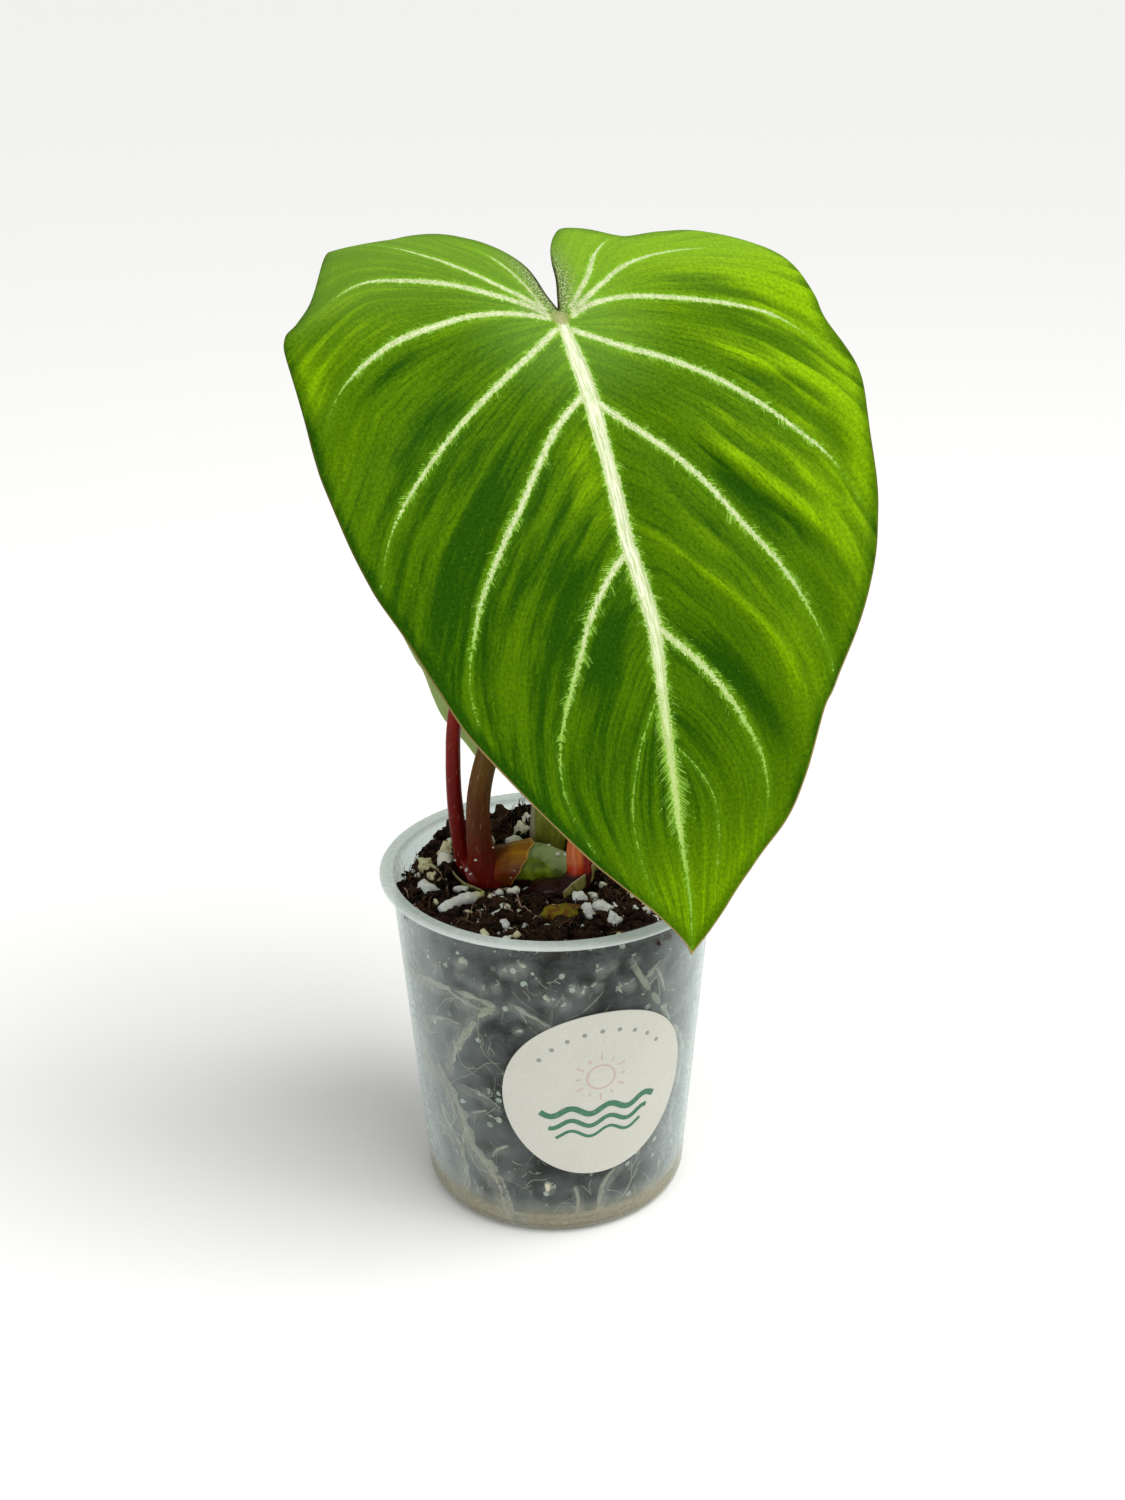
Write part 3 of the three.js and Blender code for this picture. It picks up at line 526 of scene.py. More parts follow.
def lattice(low, high, spacing):
    """Places in a triangular grid over a rectangle."""
    rows = np.arange(low[1], high[1], spacing * math.sqrt(0.75))
    grid = []
    for i, y in enumerate(rows):
        x = np.arange(low[0] + (i % 2) * spacing / 2, high[0], spacing)
        grid.append(np.column_stack([x, np.full(len(x), y)]))
    return np.vstack(grid)


def vein_lines(veins):
    """Each vein as (its widths, its line of points, the line drawn on to the edge)."""
    made = []
    for widths, points in veins:
        line = flowing(points, 0.9)
        ahead = line[-1] - line[-4]
        beyond = line[-1] + ahead / np.hypot(*ahead) * 25
        made.append((widths, line, np.vstack([evenly(line, 2), beyond])))
    return made


def measure(places, loop, midrib, left, right):
    """All that the shape and the colours need to know about each place on the flat map."""
    s, t = places[:, 0], places[:, 1]
    gap = np.full(len(places), np.inf)
    vein = np.full(len(places), np.inf)
    feather = np.zeros(len(places))
    own = np.zeros(len(places))
    for widths, line, _ in [midrib, *left, *right]:
        line = evenly(line, 2)
        distance, along, _ = to_line(places, line)
        length = np.linalg.norm(np.diff(line, axis=0), axis=1).sum()
        width = np.interp(along / length, np.linspace(0, 1, len(widths)), widths)
        outside = distance - width / 2
        closer = outside < vein
        vein[closer] = outside[closer]
        feather[closer] = (along - 0.8 * distance)[closer]
        own[closer] = width[closer]
        gap = np.minimum(gap, distance)
    edge, _, _ = to_line(places, np.vstack([loop, loop[:1]]))
    lane = np.zeros(len(places))
    to_midrib, _, _ = to_line(places, evenly(midrib[1], 2))
    for veins, half, tipward in ((left, t < 0, 1), (right, t >= 0, -1)):
        distances = []
        passed = np.zeros(len(places), dtype=int)
        for _, _, long_line in veins:
            distance, _, side = to_line(places, long_line)
            distances.append(distance)
            passed += side * tipward > 0
        distances.append(to_midrib)
        table = np.array(distances)
        spot = np.arange(len(places))
        before = table[np.clip(passed - 1, 0, len(veins)), spot]
        after = table[np.clip(passed, 0, len(veins)), spot]
        before = np.where(passed == 0, 12.0, before)
        value = passed + before / np.maximum(before + after, 1e-6)
        lane[half] = value[half]
    return dict(flat=np.column_stack([s, t, np.zeros_like(s)]), vein=vein, feather=feather,
                edge=edge, lane=lane, gap=gap, own=own)


print("measuring tools ready")

# %% [markdown]
# ## Building a blade
#
# The flat map is filled with small triangles, finer near the veins, and the veins themselves are
# lines of the mesh, so that a thin vein stays sharp. This is what a constrained triangulation
# does. The mesh is then copied for the underside, set off by the thickness of the leaf, and the
# two are joined along the edge into one closed skin. On the upper side the skin swells between
# the veins. On the underside the veins stand out as round ribs.

# %% Blade builder
def smoothstep(x, low, high):
    """A soft step from 0 at low to 1 at high."""
    u = np.clip((x - low) / (high - low), 0, 1)
    return u * u * (3 - 2 * u)


def fill_outline(loop, lines, coarse, fine):
    """Triangles that fill a loop and follow the lines."""
    low, high = loop.min(axis=0) - 1, loop.max(axis=0) + 1
    found = []
    for spacing, near, far in ((coarse, 2.6, 1e9), (fine, 0.6 * fine, 2.6)):
        grid = lattice(low, high, spacing)
        grid = grid[inside(grid, loop)]
        to_edge, _, _ = to_line(grid, evenly(np.vstack([loop, loop[:1]]), 2))
        grid = grid[to_edge > 0.4 * spacing]
        to_vein = np.full(len(grid), np.inf)
        for line in lines:
            to_vein = np.minimum(to_vein, to_line(grid, evenly(line, 3))[0])
        found.append(grid[(to_vein > near) & (to_vein <= far)])
    corners = [loop, *lines, *found]
    starts = np.cumsum([0] + [len(c) for c in corners])
    edges = loop_edges(len(loop))
    for start, line in zip(starts[1:], lines):
        edges += [(start + i, start + i + 1) for i in range(len(line) - 1)]
    points = [Vector(p) for p in np.vstack(corners)]
    made = delaunay_2d_cdt(points, edges, [], 1, 1e-5, False)
    corners = np.array([tuple(p) for p in made[0]])
    triangles = np.array([tuple(f) for f in made[2]])
    kept = triangles[inside(corners[triangles].mean(axis=1), loop)]
    return corners, [tuple(f) for f in kept.tolist()]


def blade_piece(name, node, matrix, thickness, left, right, spacing, ripple, materials):
    """A whole blade, upper side and underside, as one closed mesh."""
    left_edge = flowing([[s, -w] for s, w in LEFT_EDGE] + [TIP], spacing)
    right_edge = flowing([[s, w] for s, w in RIGHT_EDGE] + [TIP], spacing)
    loop = np.vstack([left_edge, right_edge[::-1][1:-1]])
    midrib, left, right = vein_lines([MIDRIB])[0], vein_lines(left), vein_lines(right)
    lines = [v[1][:: max(1, round(spacing / 0.9))] for v in (midrib, *left, *right)]
    flat, triangles = fill_outline(loop, lines, spacing, spacing * 0.55)
    facts = measure(flat, loop, midrib, left, right)
    s, t = flat[:, 0], flat[:, 1]
    reach = np.hypot(s, t)

    # Quilting: the skin dips along the veins, and the crests and valleys lie between them.
    quilt = 1.1 * smoothstep(reach, 4, 26) * (1 - np.exp(-((facts["gap"] / 7) ** 2)))
    fold = np.zeros(len(flat))
    for height, breadth, route in CRESTS:
        line = flowing(route, 3)
        distance, along, _ = to_line(flat, line)
        whole = np.linalg.norm(np.diff(line, axis=0), axis=1).sum()
        ends = smoothstep(along, 0, 0.3 * whole) * smoothstep(whole - along, 0, 0.3 * whole)
        fold += height * (0.25 + 0.75 * ends) * np.exp(-((distance / breadth) ** 2))
    room = smoothstep(facts["gap"], 0.2, 2.5)
    side = np.where(t < 0, ripple[0], ripple[1])
    soft = np.array([noise.noise(Vector((a * 0.05, b * 0.05, 8))) for a, b in flat])
    relief = quilt + side * fold * room + 0.25 * soft * smoothstep(facts["gap"], 0, 4)
    facts["fold"] = fold * (0.4 + 0.6 * room)

    points, normals = blade_at(s, t, relief)
    thin = 0.45 + 0.55 * smoothstep(facts["edge"], 0, 6)
    half = thickness / 2 * thin
    upper = points + normals * half[:, None]
    rib = 0.9 * np.exp(-((facts["gap"] / 1.15) ** 2)) * smoothstep(-facts["vein"], -3, 0.6)
    rib = rib + 1.9 * np.exp(-((reach / 3.6) ** 4))
    lower = points - normals * (half + rib)[:, None]
    count = len(flat)
    solid = np.vstack([upper, lower])
    faces = list(triangles) + [(c + count, b + count, a + count) for a, b, c in triangles]
    kinds = [0] * len(triangles) + [1] * len(triangles)
    used = {}
    for a, b, c in triangles:
        used.update({(a, b): 1, (b, c): 1, (c, a): 1})
    for one, two in [e for e in used if (e[1], e[0]) not in used]:
        faces.append((two, one, one + count, two + count))
        kinds.append(0)
    numbers = {k: np.concatenate([v, v]) for k, v in facts.items()}
    world = np.array(matrix)
    solid = solid @ world[:3, :3].T + world[:3, 3]
    made = piece(name, solid, faces, materials, numbers, kinds)
    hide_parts(node)
    print(name, len(flat), "places,", len(made.data.polygons), "faces")
    return made


# %% [markdown]
# ## Leaf materials
#
# The upper skin is velvet. Its cells stand up like tiny cones, which soak up light straight on
# and give a pale sheen at a glancing angle. That is a high roughness, a weak gloss and a little
# sheen. The green comes first, in broad tones that follow the blade: streaks run along the
# lanes, and small ridges cross their outer half. Part of these tones is painted light and shade:
# the right half, the rear lobes and the crests and ridges are painted paler.

# %% What the blade tells its materials
def blade_facts(add):
    """The numbers stored on the blade's points, as outputs for a material to use."""
    stored = ("vein", "lane", "own", "feather", "edge", "fold")
    at = SimpleNamespace(**{n: add("Attribute", out="Fac", attribute_name=n) for n in stored})
    at.flat = add("Attribute", out="Vector", attribute_name="flat")
    at.s = add("SeparateXYZ", at.flat)
    at.t = at.s.node.outputs[1]
    at.reach = add("VectorMath", at.flat, operation="LENGTH")
    return at


# %% Broad tones of the velvet
def lane_ridges(add, at, broad):
    """Small ridges on the outer half of the lanes: each climbs at once and falls off slowly."""
    wander = add("MULTIPLY", add("TexNoise", at.flat, 0.035, 1), 1.3)
    climb = add("FRACT", add("ADD", add("MULTIPLY", at.lane, 4.3), wander))
    steps = add("MapRange", climb, 0, 0.16, -0.5, 0.5), add("MapRange", climb, 0.16, 1)
    where = add(
        "MULTIPLY", add("MapRange", at.t, -60, 30, 0.1, 0.5),
        add("MapRange", broad, 0.38, 0.6, 0.15, 1), add("MapRange", at.reach, 25, 60, 0.1, 1),
        add("MapRange", at.s, 50, 90, 1, 0.12),
    )
    return add("MULTIPLY", add("SUBTRACT", *steps), where)


def velvet_tone(add, at, ridges, broad):
    """How pale the green is: deep in the middle and paler at the tip, with streaks along the lanes.
    Paler towards the edge is partly young tissue and partly painted light. Over it lie painted
    light and shade: paler to the right, a painted sheen on the rear lobes, pale crests and ridges
    with darker valleys, and one painted shade patch left of the midrib."""
    # Paler towards the edge, more on the right and less towards the tip: partly the young margin,
    # partly painted light from the right.
    pale_margin_and_right_light = add(
        "MULTIPLY", add("MapRange", at.edge, 30, 8), add("MapRange", at.t, -50, 35, 0.1, 0.9),
        add("MapRange", at.s, 45, 90, 1, 0.65),
    )
    from_shade = add("VectorMath", at.flat, (58, -36, 0), operation="DISTANCE")
    along = add("CombineXYZ", add("MULTIPLY", at.lane, 6.5), add("MULTIPLY", at.reach, 0.026))
    streaks = add("SUBTRACT", add("TexNoise", along, 1.0, 4, 0.72), 0.5)
    return add(
        "ADD",
        add("MULTIPLY", pale_margin_and_right_light, 0.3),
        # Painted sheen: the rear lobes face the sky and are painted paler.
        add("MULTIPLY", add("MapRange", at.s, 26, -14), 0.22),
        # Painted light: the right half is painted paler, as it turns to the lamp.
        add("MapRange", at.t, -25, 45, 0.05, 0.2),
        add("MapRange", at.s, 50, 110, 0.05, -0.09),
        add("MapRange", at.s, 122, 146, 0, 0.34),
        # Painted shade: a darker patch round one place left of the midrib.
        add("MapRange", from_shade, 42, 4, 0, -0.1),
        add("MapRange", at.edge, 3.5, 0, 0, -0.35),
        # Painted light and shade: crests painted paler and valleys darker, more on the right.
        add("MULTIPLY", at.fold, add("MapRange", at.t, -20, 20, 0.24, 0.36)),
        add("MULTIPLY", streaks, add("MapRange", at.t, -15, 15, 1.3, 0.8)),
        add("MULTIPLY", add("SUBTRACT", broad, 0.5), 0.15),
        # Painted light and shade on the small ridges: a pale climb and a darker fall.
        add("MULTIPLY", ridges, 0.9),
    )


# %% [markdown]
# Between the veins run fine dark nerves about 1.5 mm apart, thirteen to a lane. Over them lies
# a mottle of about 1 mm, the width of a few cells, and single pale dots.

# %% Nerves and cells of the velvet
NERVES = 2 * math.pi * 13


def nerves_and_cells(add, at, tone):
    """The whole green of the upper skin, with the nerves and the cells that its relief needs."""
    comb = add("ADD", at.lane, add("MULTIPLY", add("TexNoise", at.flat, 0.1, 1), 0.08))
    lines = add(
        "MULTIPLY", add("MapRange", add("SINE", add("MULTIPLY", comb, NERVES)), 0.6, 1),
        add("MapRange", add("TexNoise", at.flat, 0.12), 0.35, 0.55),
        add("MapRange", add("TexNoise", at.flat, 0.9), 0.35, 0.6, 0.3, 1),
        add("MapRange", at.edge, 6, 30, 0.35, 1),
    )
    cells = add("TexNoise", at.flat, 1.1, 4, 0.75)
    mottle = add("MapRange", cells, 0.32, 0.7, 0.7, 1.28)
    green = add("Mix", add("MapRange", tone, -0.2, 0.25), "#204800", "#486e00")
    green = add("Mix", add("MapRange", tone, 0.2, 0.85), green, "#7fa900")
    green = add("Mix", add("MULTIPLY", lines, 0.5), green, "#1f4400")
    grey = add("CombineXYZ", mottle, mottle, mottle)
    green = add("Mix", 0.85, green, grey, blend_type="MULTIPLY")
    for share, code in (
        (add("MapRange", add("TexNoise", at.flat, 1.7, 2, 0.6), 0.66, 0.74, 0, 0.35), "#8dbb2c"),
        # Painted sheen: the rear lobes, which face the sky, are painted a greyer green.
        (add("MULTIPLY", add("MapRange", at.s, 5, -30), 0.5), "#6f9634"),
        (add("MapRange", at.reach, 32, 5, 0, 0.4), "#628a3c"),
    ):
        green = add("Mix", share, green, code)
    return green, lines, cells


# %% [markdown]
# Over the green lie the cream veins with their frayed sides. A vein is wherever the stored
# distance is below a noisy limit, and short bristles lean forward from it. On the lower midrib
# they grow into a brush of lime hairs, two or three millimetres long. The heart of each vein is
# cream with darker strands, and the slender ends turn green.

# %% Frayed veins
def frayed_veins(add, at, green):
    """The green with the veins over it, and the grain that frays them."""
    hair_place = add("CombineXYZ", at.feather, add("MULTIPLY", at.t, 0.03))
    bristle = add("MapRange", add("TexNoise", hair_place, 3.4, 3, 0.75), 0.44, 0.68, 0, 1.3)
    patchy = add("MapRange", add("TexNoise", at.flat, 0.3), 0.4, 0.65, 0.15, 1.3)
    tattered = add("MapRange", at.s, 0, 90, 0.9, 1.7)
    bristle = add("MULTIPLY", bristle, add("MULTIPLY", patchy, tattered))
    bristle = add("MULTIPLY", bristle, add("MapRange", at.own, 0.2, 1.1, 0.3, 1))
    brush = add(
        "MULTIPLY", add("MapRange", at.s, 96, 110), add("MapRange", at.s, 140, 128),
        add("MapRange", at.own, 0.95, 1.25),
    )
    hairs = add("MapRange", add("TexNoise", hair_place, 2.3, 3, 0.8), 0.44, 0.7, 0, 2.8)
    bristle = add("ADD", bristle, add("MULTIPLY", brush, hairs))
    vein = add("ADD", at.vein, add("MapRange", at.own, 1.3, 0.3, 0, 0.24))
    grain = add("SUBTRACT", add("TexNoise", at.flat, 1.25, 3, 0.7), 0.5)
    coarse = add("MULTIPLY", tattered, add("MapRange", at.own, 0.1, 0.9, 0.35, 1))
    grain = add("MULTIPLY", add("MULTIPLY", grain, 1.9), coarse)
    frayed = add("ADD", add("SUBTRACT", vein, bristle), grain)
    halo = add("MULTIPLY", add("MapRange", vein, 2.0, 0.2), 0.15)
    green = add("Mix", halo, green, "#6ea514")
    fringe = add("MULTIPLY", add("MapRange", frayed, 0.32, 0.04), 0.8)
    green = add("Mix", fringe, green, "#8cb945")

    strand_place = add(
        "CombineXYZ", add("MULTIPLY", at.feather, 0.08), add("MULTIPLY", at.t, 0.5), vein
    )
    strand = add("TexNoise", strand_place, 2.6, 3, 0.6)
    cream = add("Mix", add("MapRange", strand, 0.42, 0.6), "#c2cd9c", "#a0b276")
    heart = add("Mix", add("MapRange", strand, 0.4, 0.62), "#ecefd4", "#bfcb9a")
    cream = add("Mix", add("MULTIPLY", add("MapRange", vein, -0.3, -1.1), 0.85), cream, heart)
    cream = add("Mix", add("MapRange", at.s, 60, 140, 0, 0.75), cream, "#a9c75c")
    slender = add("MapRange", at.own, 1.3, 0.4, 0, 0.85), add("MapRange", at.s, 40, 95)
    cream = add("Mix", add("MULTIPLY", *slender), cream, "#84b040")
    covered = add("MapRange", add("ADD", vein, grain), 0.2, -0.1)
    return add("Mix", covered, green, cream), grain


# %% [markdown]
# Round the stalk the skin is khaki, and beside the notch it is peppered with black and white.
# A thin dry line runs round the edge, tan at the tip and brown elsewhere.

# %% Hub and rim of the velvet
def hub_and_rim(add, at, color, grain):
    pepper = add("MapRange", add("TexNoise", at.flat, 1.9, 3, 0.8), 0.45, 0.55)
    pepper = add("Mix", pepper, "#22260c", "#b4bd8c")
    hub = add("MULTIPLY", add("MapRange", at.reach, 13, 3), add("MapRange", at.s, 1, -3))
    notch = add(
        "MULTIPLY", add("MapRange", at.edge, 6.5, 0.4), add("MapRange", at.s, -1, -4),
        add("MapRange", at.reach, 30, 10),
    )
    peppery = add("MAXIMUM", add("MULTIPLY", hub, 0.65), notch)
    gaps = add("MapRange", add("TexNoise", at.flat, 1.4, 3, 0.7), 0.35, 0.55)
    khaki = add("MapRange", add("ADD", at.reach, grain), 3.0, 1.6)
    sooty = add("MapRange", at.edge, 0.9, 0.1), add("MapRange", at.reach, 26, 12)
    rim = add("MapRange", at.edge, 0.45, 0.15), add("MapRange", at.s, -10, 50, 0.2, 0.8)
    dry = add("Mix", add("MapRange", at.s, 60, 110), "#5b5a1e", "#a88f5c")
    for share, layer in (
        (add("MULTIPLY", khaki, 0.85), "#8d8f58"),
        (add("MULTIPLY", add("MULTIPLY", peppery, gaps), 0.9), pepper),
        (add("MULTIPLY", *sooty), "#20200c"),
        (add("MULTIPLY", *rim), dry),
    ):
        color = add("Mix", share, color, layer)
    return color


# %% Velvet upper side
def velvet_skin():
    """Living leaf skin of tiny cone cells: matt, with a faint sheen at a glancing angle."""
    material, add, shader = new_material(
        "velvet_leaf_upper", 0.6, 1.4, 0.03,
        Sheen_Weight=0.02, Sheen_Roughness=0.45, Sheen_Tint="#d8efb4",
    )
    at = blade_facts(add)
    broad = add("TexNoise", at.flat, 0.055, 3)
    ridges = lane_ridges(add, at, broad)
    green, lines, cells = nerves_and_cells(add, at, velvet_tone(add, at, ridges, broad))
    color = hub_and_rim(add, at, *frayed_veins(add, at, green))
    height = add("ADD", cells, add("MULTIPLY", lines, -0.4), add("MULTIPLY", ridges, 1.5))
    fill(shader, dict(
        Base_Color=color, Roughness=add("MapRange", cells, 0.3, 0.7, 0.7, 0.5),
        Normal=add("Bump", Strength=0.45, Distance=0.0003, Height=height),
    ))
    return material


velvet = velvet_skin()
print("made", velvet.name)

# %% [markdown]
# The underside is smoother and much paler, a grey green with a net of raised veins. Its skin has
# a little wax, so it is less rough than the velvet. Most of the finishes from here on end alike:
# one noise also drives the roughness and a slight bump, so one function sets both.

# %% Pale underside
def finish_skin(add, shader, color, texture, rough, strength=0, depth=0):
    """Feeds a shader: the colour, the roughness at the low and high end of a texture, and a bump
    of the same texture with a depth in millimetres."""
    inputs = dict(Base_Color=color, Roughness=add("MapRange", texture, 0.3, 0.7, *rough))
    if strength:
        inputs["Normal"] = add("Bump", Strength=strength, Distance=depth * MM, Height=texture)
    fill(shader, inputs)


def pale_underside():
    """Leaf skin under a thin coat of wax: a soft, broad gloss on a pale green."""
    material, add, shader = new_material("waxy_leaf_underside", 0.5, 1.42, 0.35)
    at = blade_facts(add)
    cells = add("TexNoise", at.flat, 1.6, 3, 0.7)
    lines = add("MapRange", add("SINE", add("MULTIPLY", at.lane, NERVES)), 0.5, 1)
    color = add("Mix", add("TexNoise", at.flat, 0.12, 3), "#859c52", "#9fb46c")
    for share, code in (
        (add("MULTIPLY", lines, 0.25), "#6c8640"),
        (add("MULTIPLY", add("MapRange", cells, 0.45, 0.7), 0.3), "#b5c684"),
        (add("MapRange", at.vein, 0.5, -0.3), "#b9c890"),
    ):
        color = add("Mix", share, color, code)
    finish_skin(add, shader, color, cells, (0.45, 0.6), 0.3, 0.2)
    return material


underside = pale_underside()
print("made", underside.name)

# %% [markdown]
# ## The two leaves
#
# Both blades come from the same builder. The large one is turned a little to the right and
# hangs in front of the pot. The small one is a younger leaf, 57% of the size, that faces away to
# the back, so mostly its underside shows from the front.

# %% Large and small blade
large_place = Matrix.Translation((3.5, 21.4, 229)) @ Matrix.Rotation(math.radians(24), 4, "Z")
leaf_large = blade_piece(
    "large_blade", "leaf_large", large_place, 0.7, LEFT_VEINS, RIGHT_VEINS, 0.95, (0.15, 0.5),
    [velvet, underside],
)

lean, face, tip = ((9.5, "Y"), (191.5, "Z"), (17, "X"))
turns = [Matrix.Rotation(math.radians(angle), 4, axis) for angle, axis in (lean, face, tip)]
small_turn = turns[0] @ turns[1] @ turns[2]
small_place = Matrix.Translation((-0.9, 42, 175)) @ small_turn @ Matrix.Scale(0.57, 4)
leaf_small = blade_piece(
    "small_blade", "leaf_small", small_place, 1.0, LEFT_VEINS[1:7], RIGHT_VEINS[1:6], 1.9,
    (0.15, 0.25), [velvet, underside],
)

# %% [markdown]
# ## The stalks
#
# Each stalk is a round stem that rises from the rhizome, leans, and turns square to the underside
# of its blade. A tube swept along a smooth curve gives that. The real stalk isn't quite round:
# it has faint ridges along it, so the tube's radius is rippled a little. At the foot it swells
# where it clasps the rhizome.

# %% Curves like the CAD model's
def arched(points, spacing):
    """The centripetal curve through the points, which doesn't overshoot at uneven steps."""
    p = np.array(points, dtype=float)
    p = np.vstack([2 * p[0] - p[1], p, 2 * p[-1] - p[-2]])
    rows = []
    for a, b, c, d in zip(p, p[1:], p[2:], p[3:]):
        ab, bc, cd = (math.sqrt(np.linalg.norm(y - x)) for x, y in ((a, b), (b, c), (c, d)))
        leave = ((b - a) / ab - (c - a) / (ab + bc) + (c - b) / bc) * bc
        arrive = ((c - b) / bc - (d - b) / (bc + cd) + (d - c) / cd) * bc
        rows.append(hermite(b, c, leave, arrive))
    return evenly(np.vstack([*rows, p[-2:-1]]), spacing)


def under_joint(matrix, depth):
    """A place under the spot where a blade joins its stalk."""
    _, normal = blade_at(np.zeros(1), np.zeros(1), 0)
    return np.array(matrix @ Vector(normal[0] * -depth))


def ridged(points, places, ridges, depth, seed):
    """Pushes a tube's points in and out, so that ridges run along it."""
    shifts = []
    for point, (around, along, radius) in zip(points, places):
        angle = around / radius
        ripple = math.cos(angle * ridges + 0.02 * along) * depth
        ripple += noise.noise(Vector((angle * 2, along * 0.25, seed))) * depth
        shifts.append(ripple)
    return np.array(shifts)


def stem_piece(name, node, path, radii, sides, material, ridges=7, depth=0.05, seed=1.0):
    """A ridged stem along a path, in the place of one CAD node."""
    points, faces, places = tube(path, radii, sides)
    rings = points.reshape(len(path), sides, 3)
    spokes = (rings - np.asarray(path)[:, None]).reshape(-1, 3)
    spokes /= np.linalg.norm(spokes, axis=1)[:, None]
    points = points + spokes * ridged(points, places, ridges, depth, seed)[:, None]
    made = piece(name, points, faces, [material], {"place": places})
    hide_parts(node)
    return made


print("stem tools ready")

# %% [markdown]
# A stalk's skin is smooth and slightly waxy, so it shines more than the leaf. Its colour runs
# from olive brown under the blade to dark wine red at the foot, with short pale dashes along it.
# The dashes are a noise pattern stretched eight to one along the stem.

# %% Stalk skins
def stalk_skin(name, foot, middle, top, low, high, gloss=0.34, side=None):
    """A waxy stem skin: three colours by height in millimetres, and pale dashes along it. side
    is a second tint, with the two x places in millimetres between which it grows."""
    material, add, shader = new_material(name, gloss, 1.45, 0.16)
    place = add("Attribute", out="Vector", attribute_name="place")
    around = add("SeparateXYZ", place)
    along = around.node.outputs[1]
    x = add("SeparateXYZ", add("TexCoord", out="Object"))
    cloud = add("TexNoise", place, 0.35, 3)
    sway = add("MULTIPLY", add("SUBTRACT", cloud, 0.5), 0.4 * (high - low) * MM)
    level = add("ADD", x.node.outputs[2], sway)
    half = (low + high) / 2 * MM
    color = add("Mix", add("MapRange", level, half, high * MM), middle, top)
    if side:
        color = add("Mix", add("MapRange", x, side[1] * MM, side[2] * MM), color, side[0])
    color = add("Mix", add("MapRange", level, low * MM, half), foot, color)
    long_place = add("CombineXYZ", around, add("MULTIPLY", along, 0.1))
    dark = add("TexNoise", long_place, 1.1)
    color = add("Mix", add("MapRange", dark, 0.35, 0.7, 0, 0.35), color, "#2a0c04")
    dash_place = add("CombineXYZ", around, add("MULTIPLY", along, 0.13))
    dashes = add("MapRange", add("TexNoise", dash_place, 2.4, 2, 0.6), 0.64, 0.74)
    color = add("Mix", add("MULTIPLY", dashes, 0.55), color, "#b58a66")
    fill(shader, dict(
        Base_Color=color,
        Roughness=add("MapRange", cloud, 0.3, 0.7, gloss - 0.06, gloss + 0.12),
        Normal=add("Bump", Strength=0.25, Distance=0.2 * MM, Height=dark),
    ))
    return material


large_skin = stalk_skin("waxy_olive_stalk", "#6a1004", "#5a2c04", "#614512", 88, 118)
small_skin = stalk_skin("waxy_red_stalk", "#6c0a04", "#700a04", "#861c10", 86, 130)

large_end = 2.2 + 0.4 - 0.6
large_path = arched(
    [[-17, 6.3, 80], [-19.3, 7.3, 96], [-19, 9, 108], [-14, 14, 128], [-6, 21.5, 168],
     [-1, 29, 201], under_joint(large_place, large_end + 10), under_joint(large_place, large_end)],
    1.2,
)
stalk_large = stem_piece(
    "large_stalk", "stalk_large", large_path,
    [5.8, 4.6, 3.6, 3.2, 3.1, 3.05, 3.0, 3.0, 2.95, 2.95, 2.9, 2.85, 2.8, 2.75, 2.7, 2.65, 2.6,
     2.55, 2.5, 2.45, 2.4, 2.4, 2.35, 2.35, 2.35], 32, large_skin,
)
small_end = 2.2 + 0.3
small_path = arched(
    [[-22.5, 10.5, 80], [-25, 11.5, 97], [-25.8, 13, 112], [-24.5, 17, 130], [-18, 23, 146],
     under_joint(small_place, small_end + 14), under_joint(small_place, small_end)],
    1.2,
)
stalk_small = stem_piece(
    "small_stalk", "stalk_small", small_path, [2.9, 2.2, 2.05, 1.95, 1.8, 1.6, 1.4, 1.3, 1.25],
    24, small_skin, 5, 0.04, 4.0,
)
print("stalks", len(large_path), "and", len(small_path), "rings")

# %% [markdown]
# ## The rhizome and what grows on it
#
# This species creeps: a thick stem lies on the soil, and leaves rise from it one by one. The
# newest bare length is green, with a ring of pale bumps where a sheath came away. Its pale,
# frosty top is a painted sheen, and its dark brown underside is partly the rest of old sheaths
# and partly painted shade. Behind it sits a dry amber sheath, torn at the top. A glossy orange
# shoot breaks out in front, and an older cut stalk stands behind as an olive stub.

# %% Rhizome pieces
# Noise vectors start from the clock unless they get a seed, and the plant is to grow the same
# each time.
noise.seed_set(7)


def knobbly(points, amount, per_mm, seed):
    """Moves points by smooth noise, the same each run."""
    moved = []
    for p in points:
        moved.append(noise.noise_vector(Vector(p) * per_mm + Vector((seed, 0, 0))) * amount)
    return points + np.array(moved)


RHIZOME = [[-23, 7.6, 83.2], [-15.5, 9.4, 85], [-5, 9.8, 86.5], [3, 8.4, 84.7], [7.5, 6.8, 83]]
rhizome_path = arched(RHIZOME, 0.5)
rhizome_radii = [5.7, 6.4, 6.3, 6.1, 6.0, 5.8, 5.3, 4.9, 4.2]
points, faces, places = tube(rhizome_path, rhizome_radii, 40)
centres = np.repeat(rhizome_path, 40, axis=0)
upward = (points - centres)[:, 2] / np.linalg.norm(points - centres, axis=1)
points = knobbly(points, 0.3, 0.3, 2)


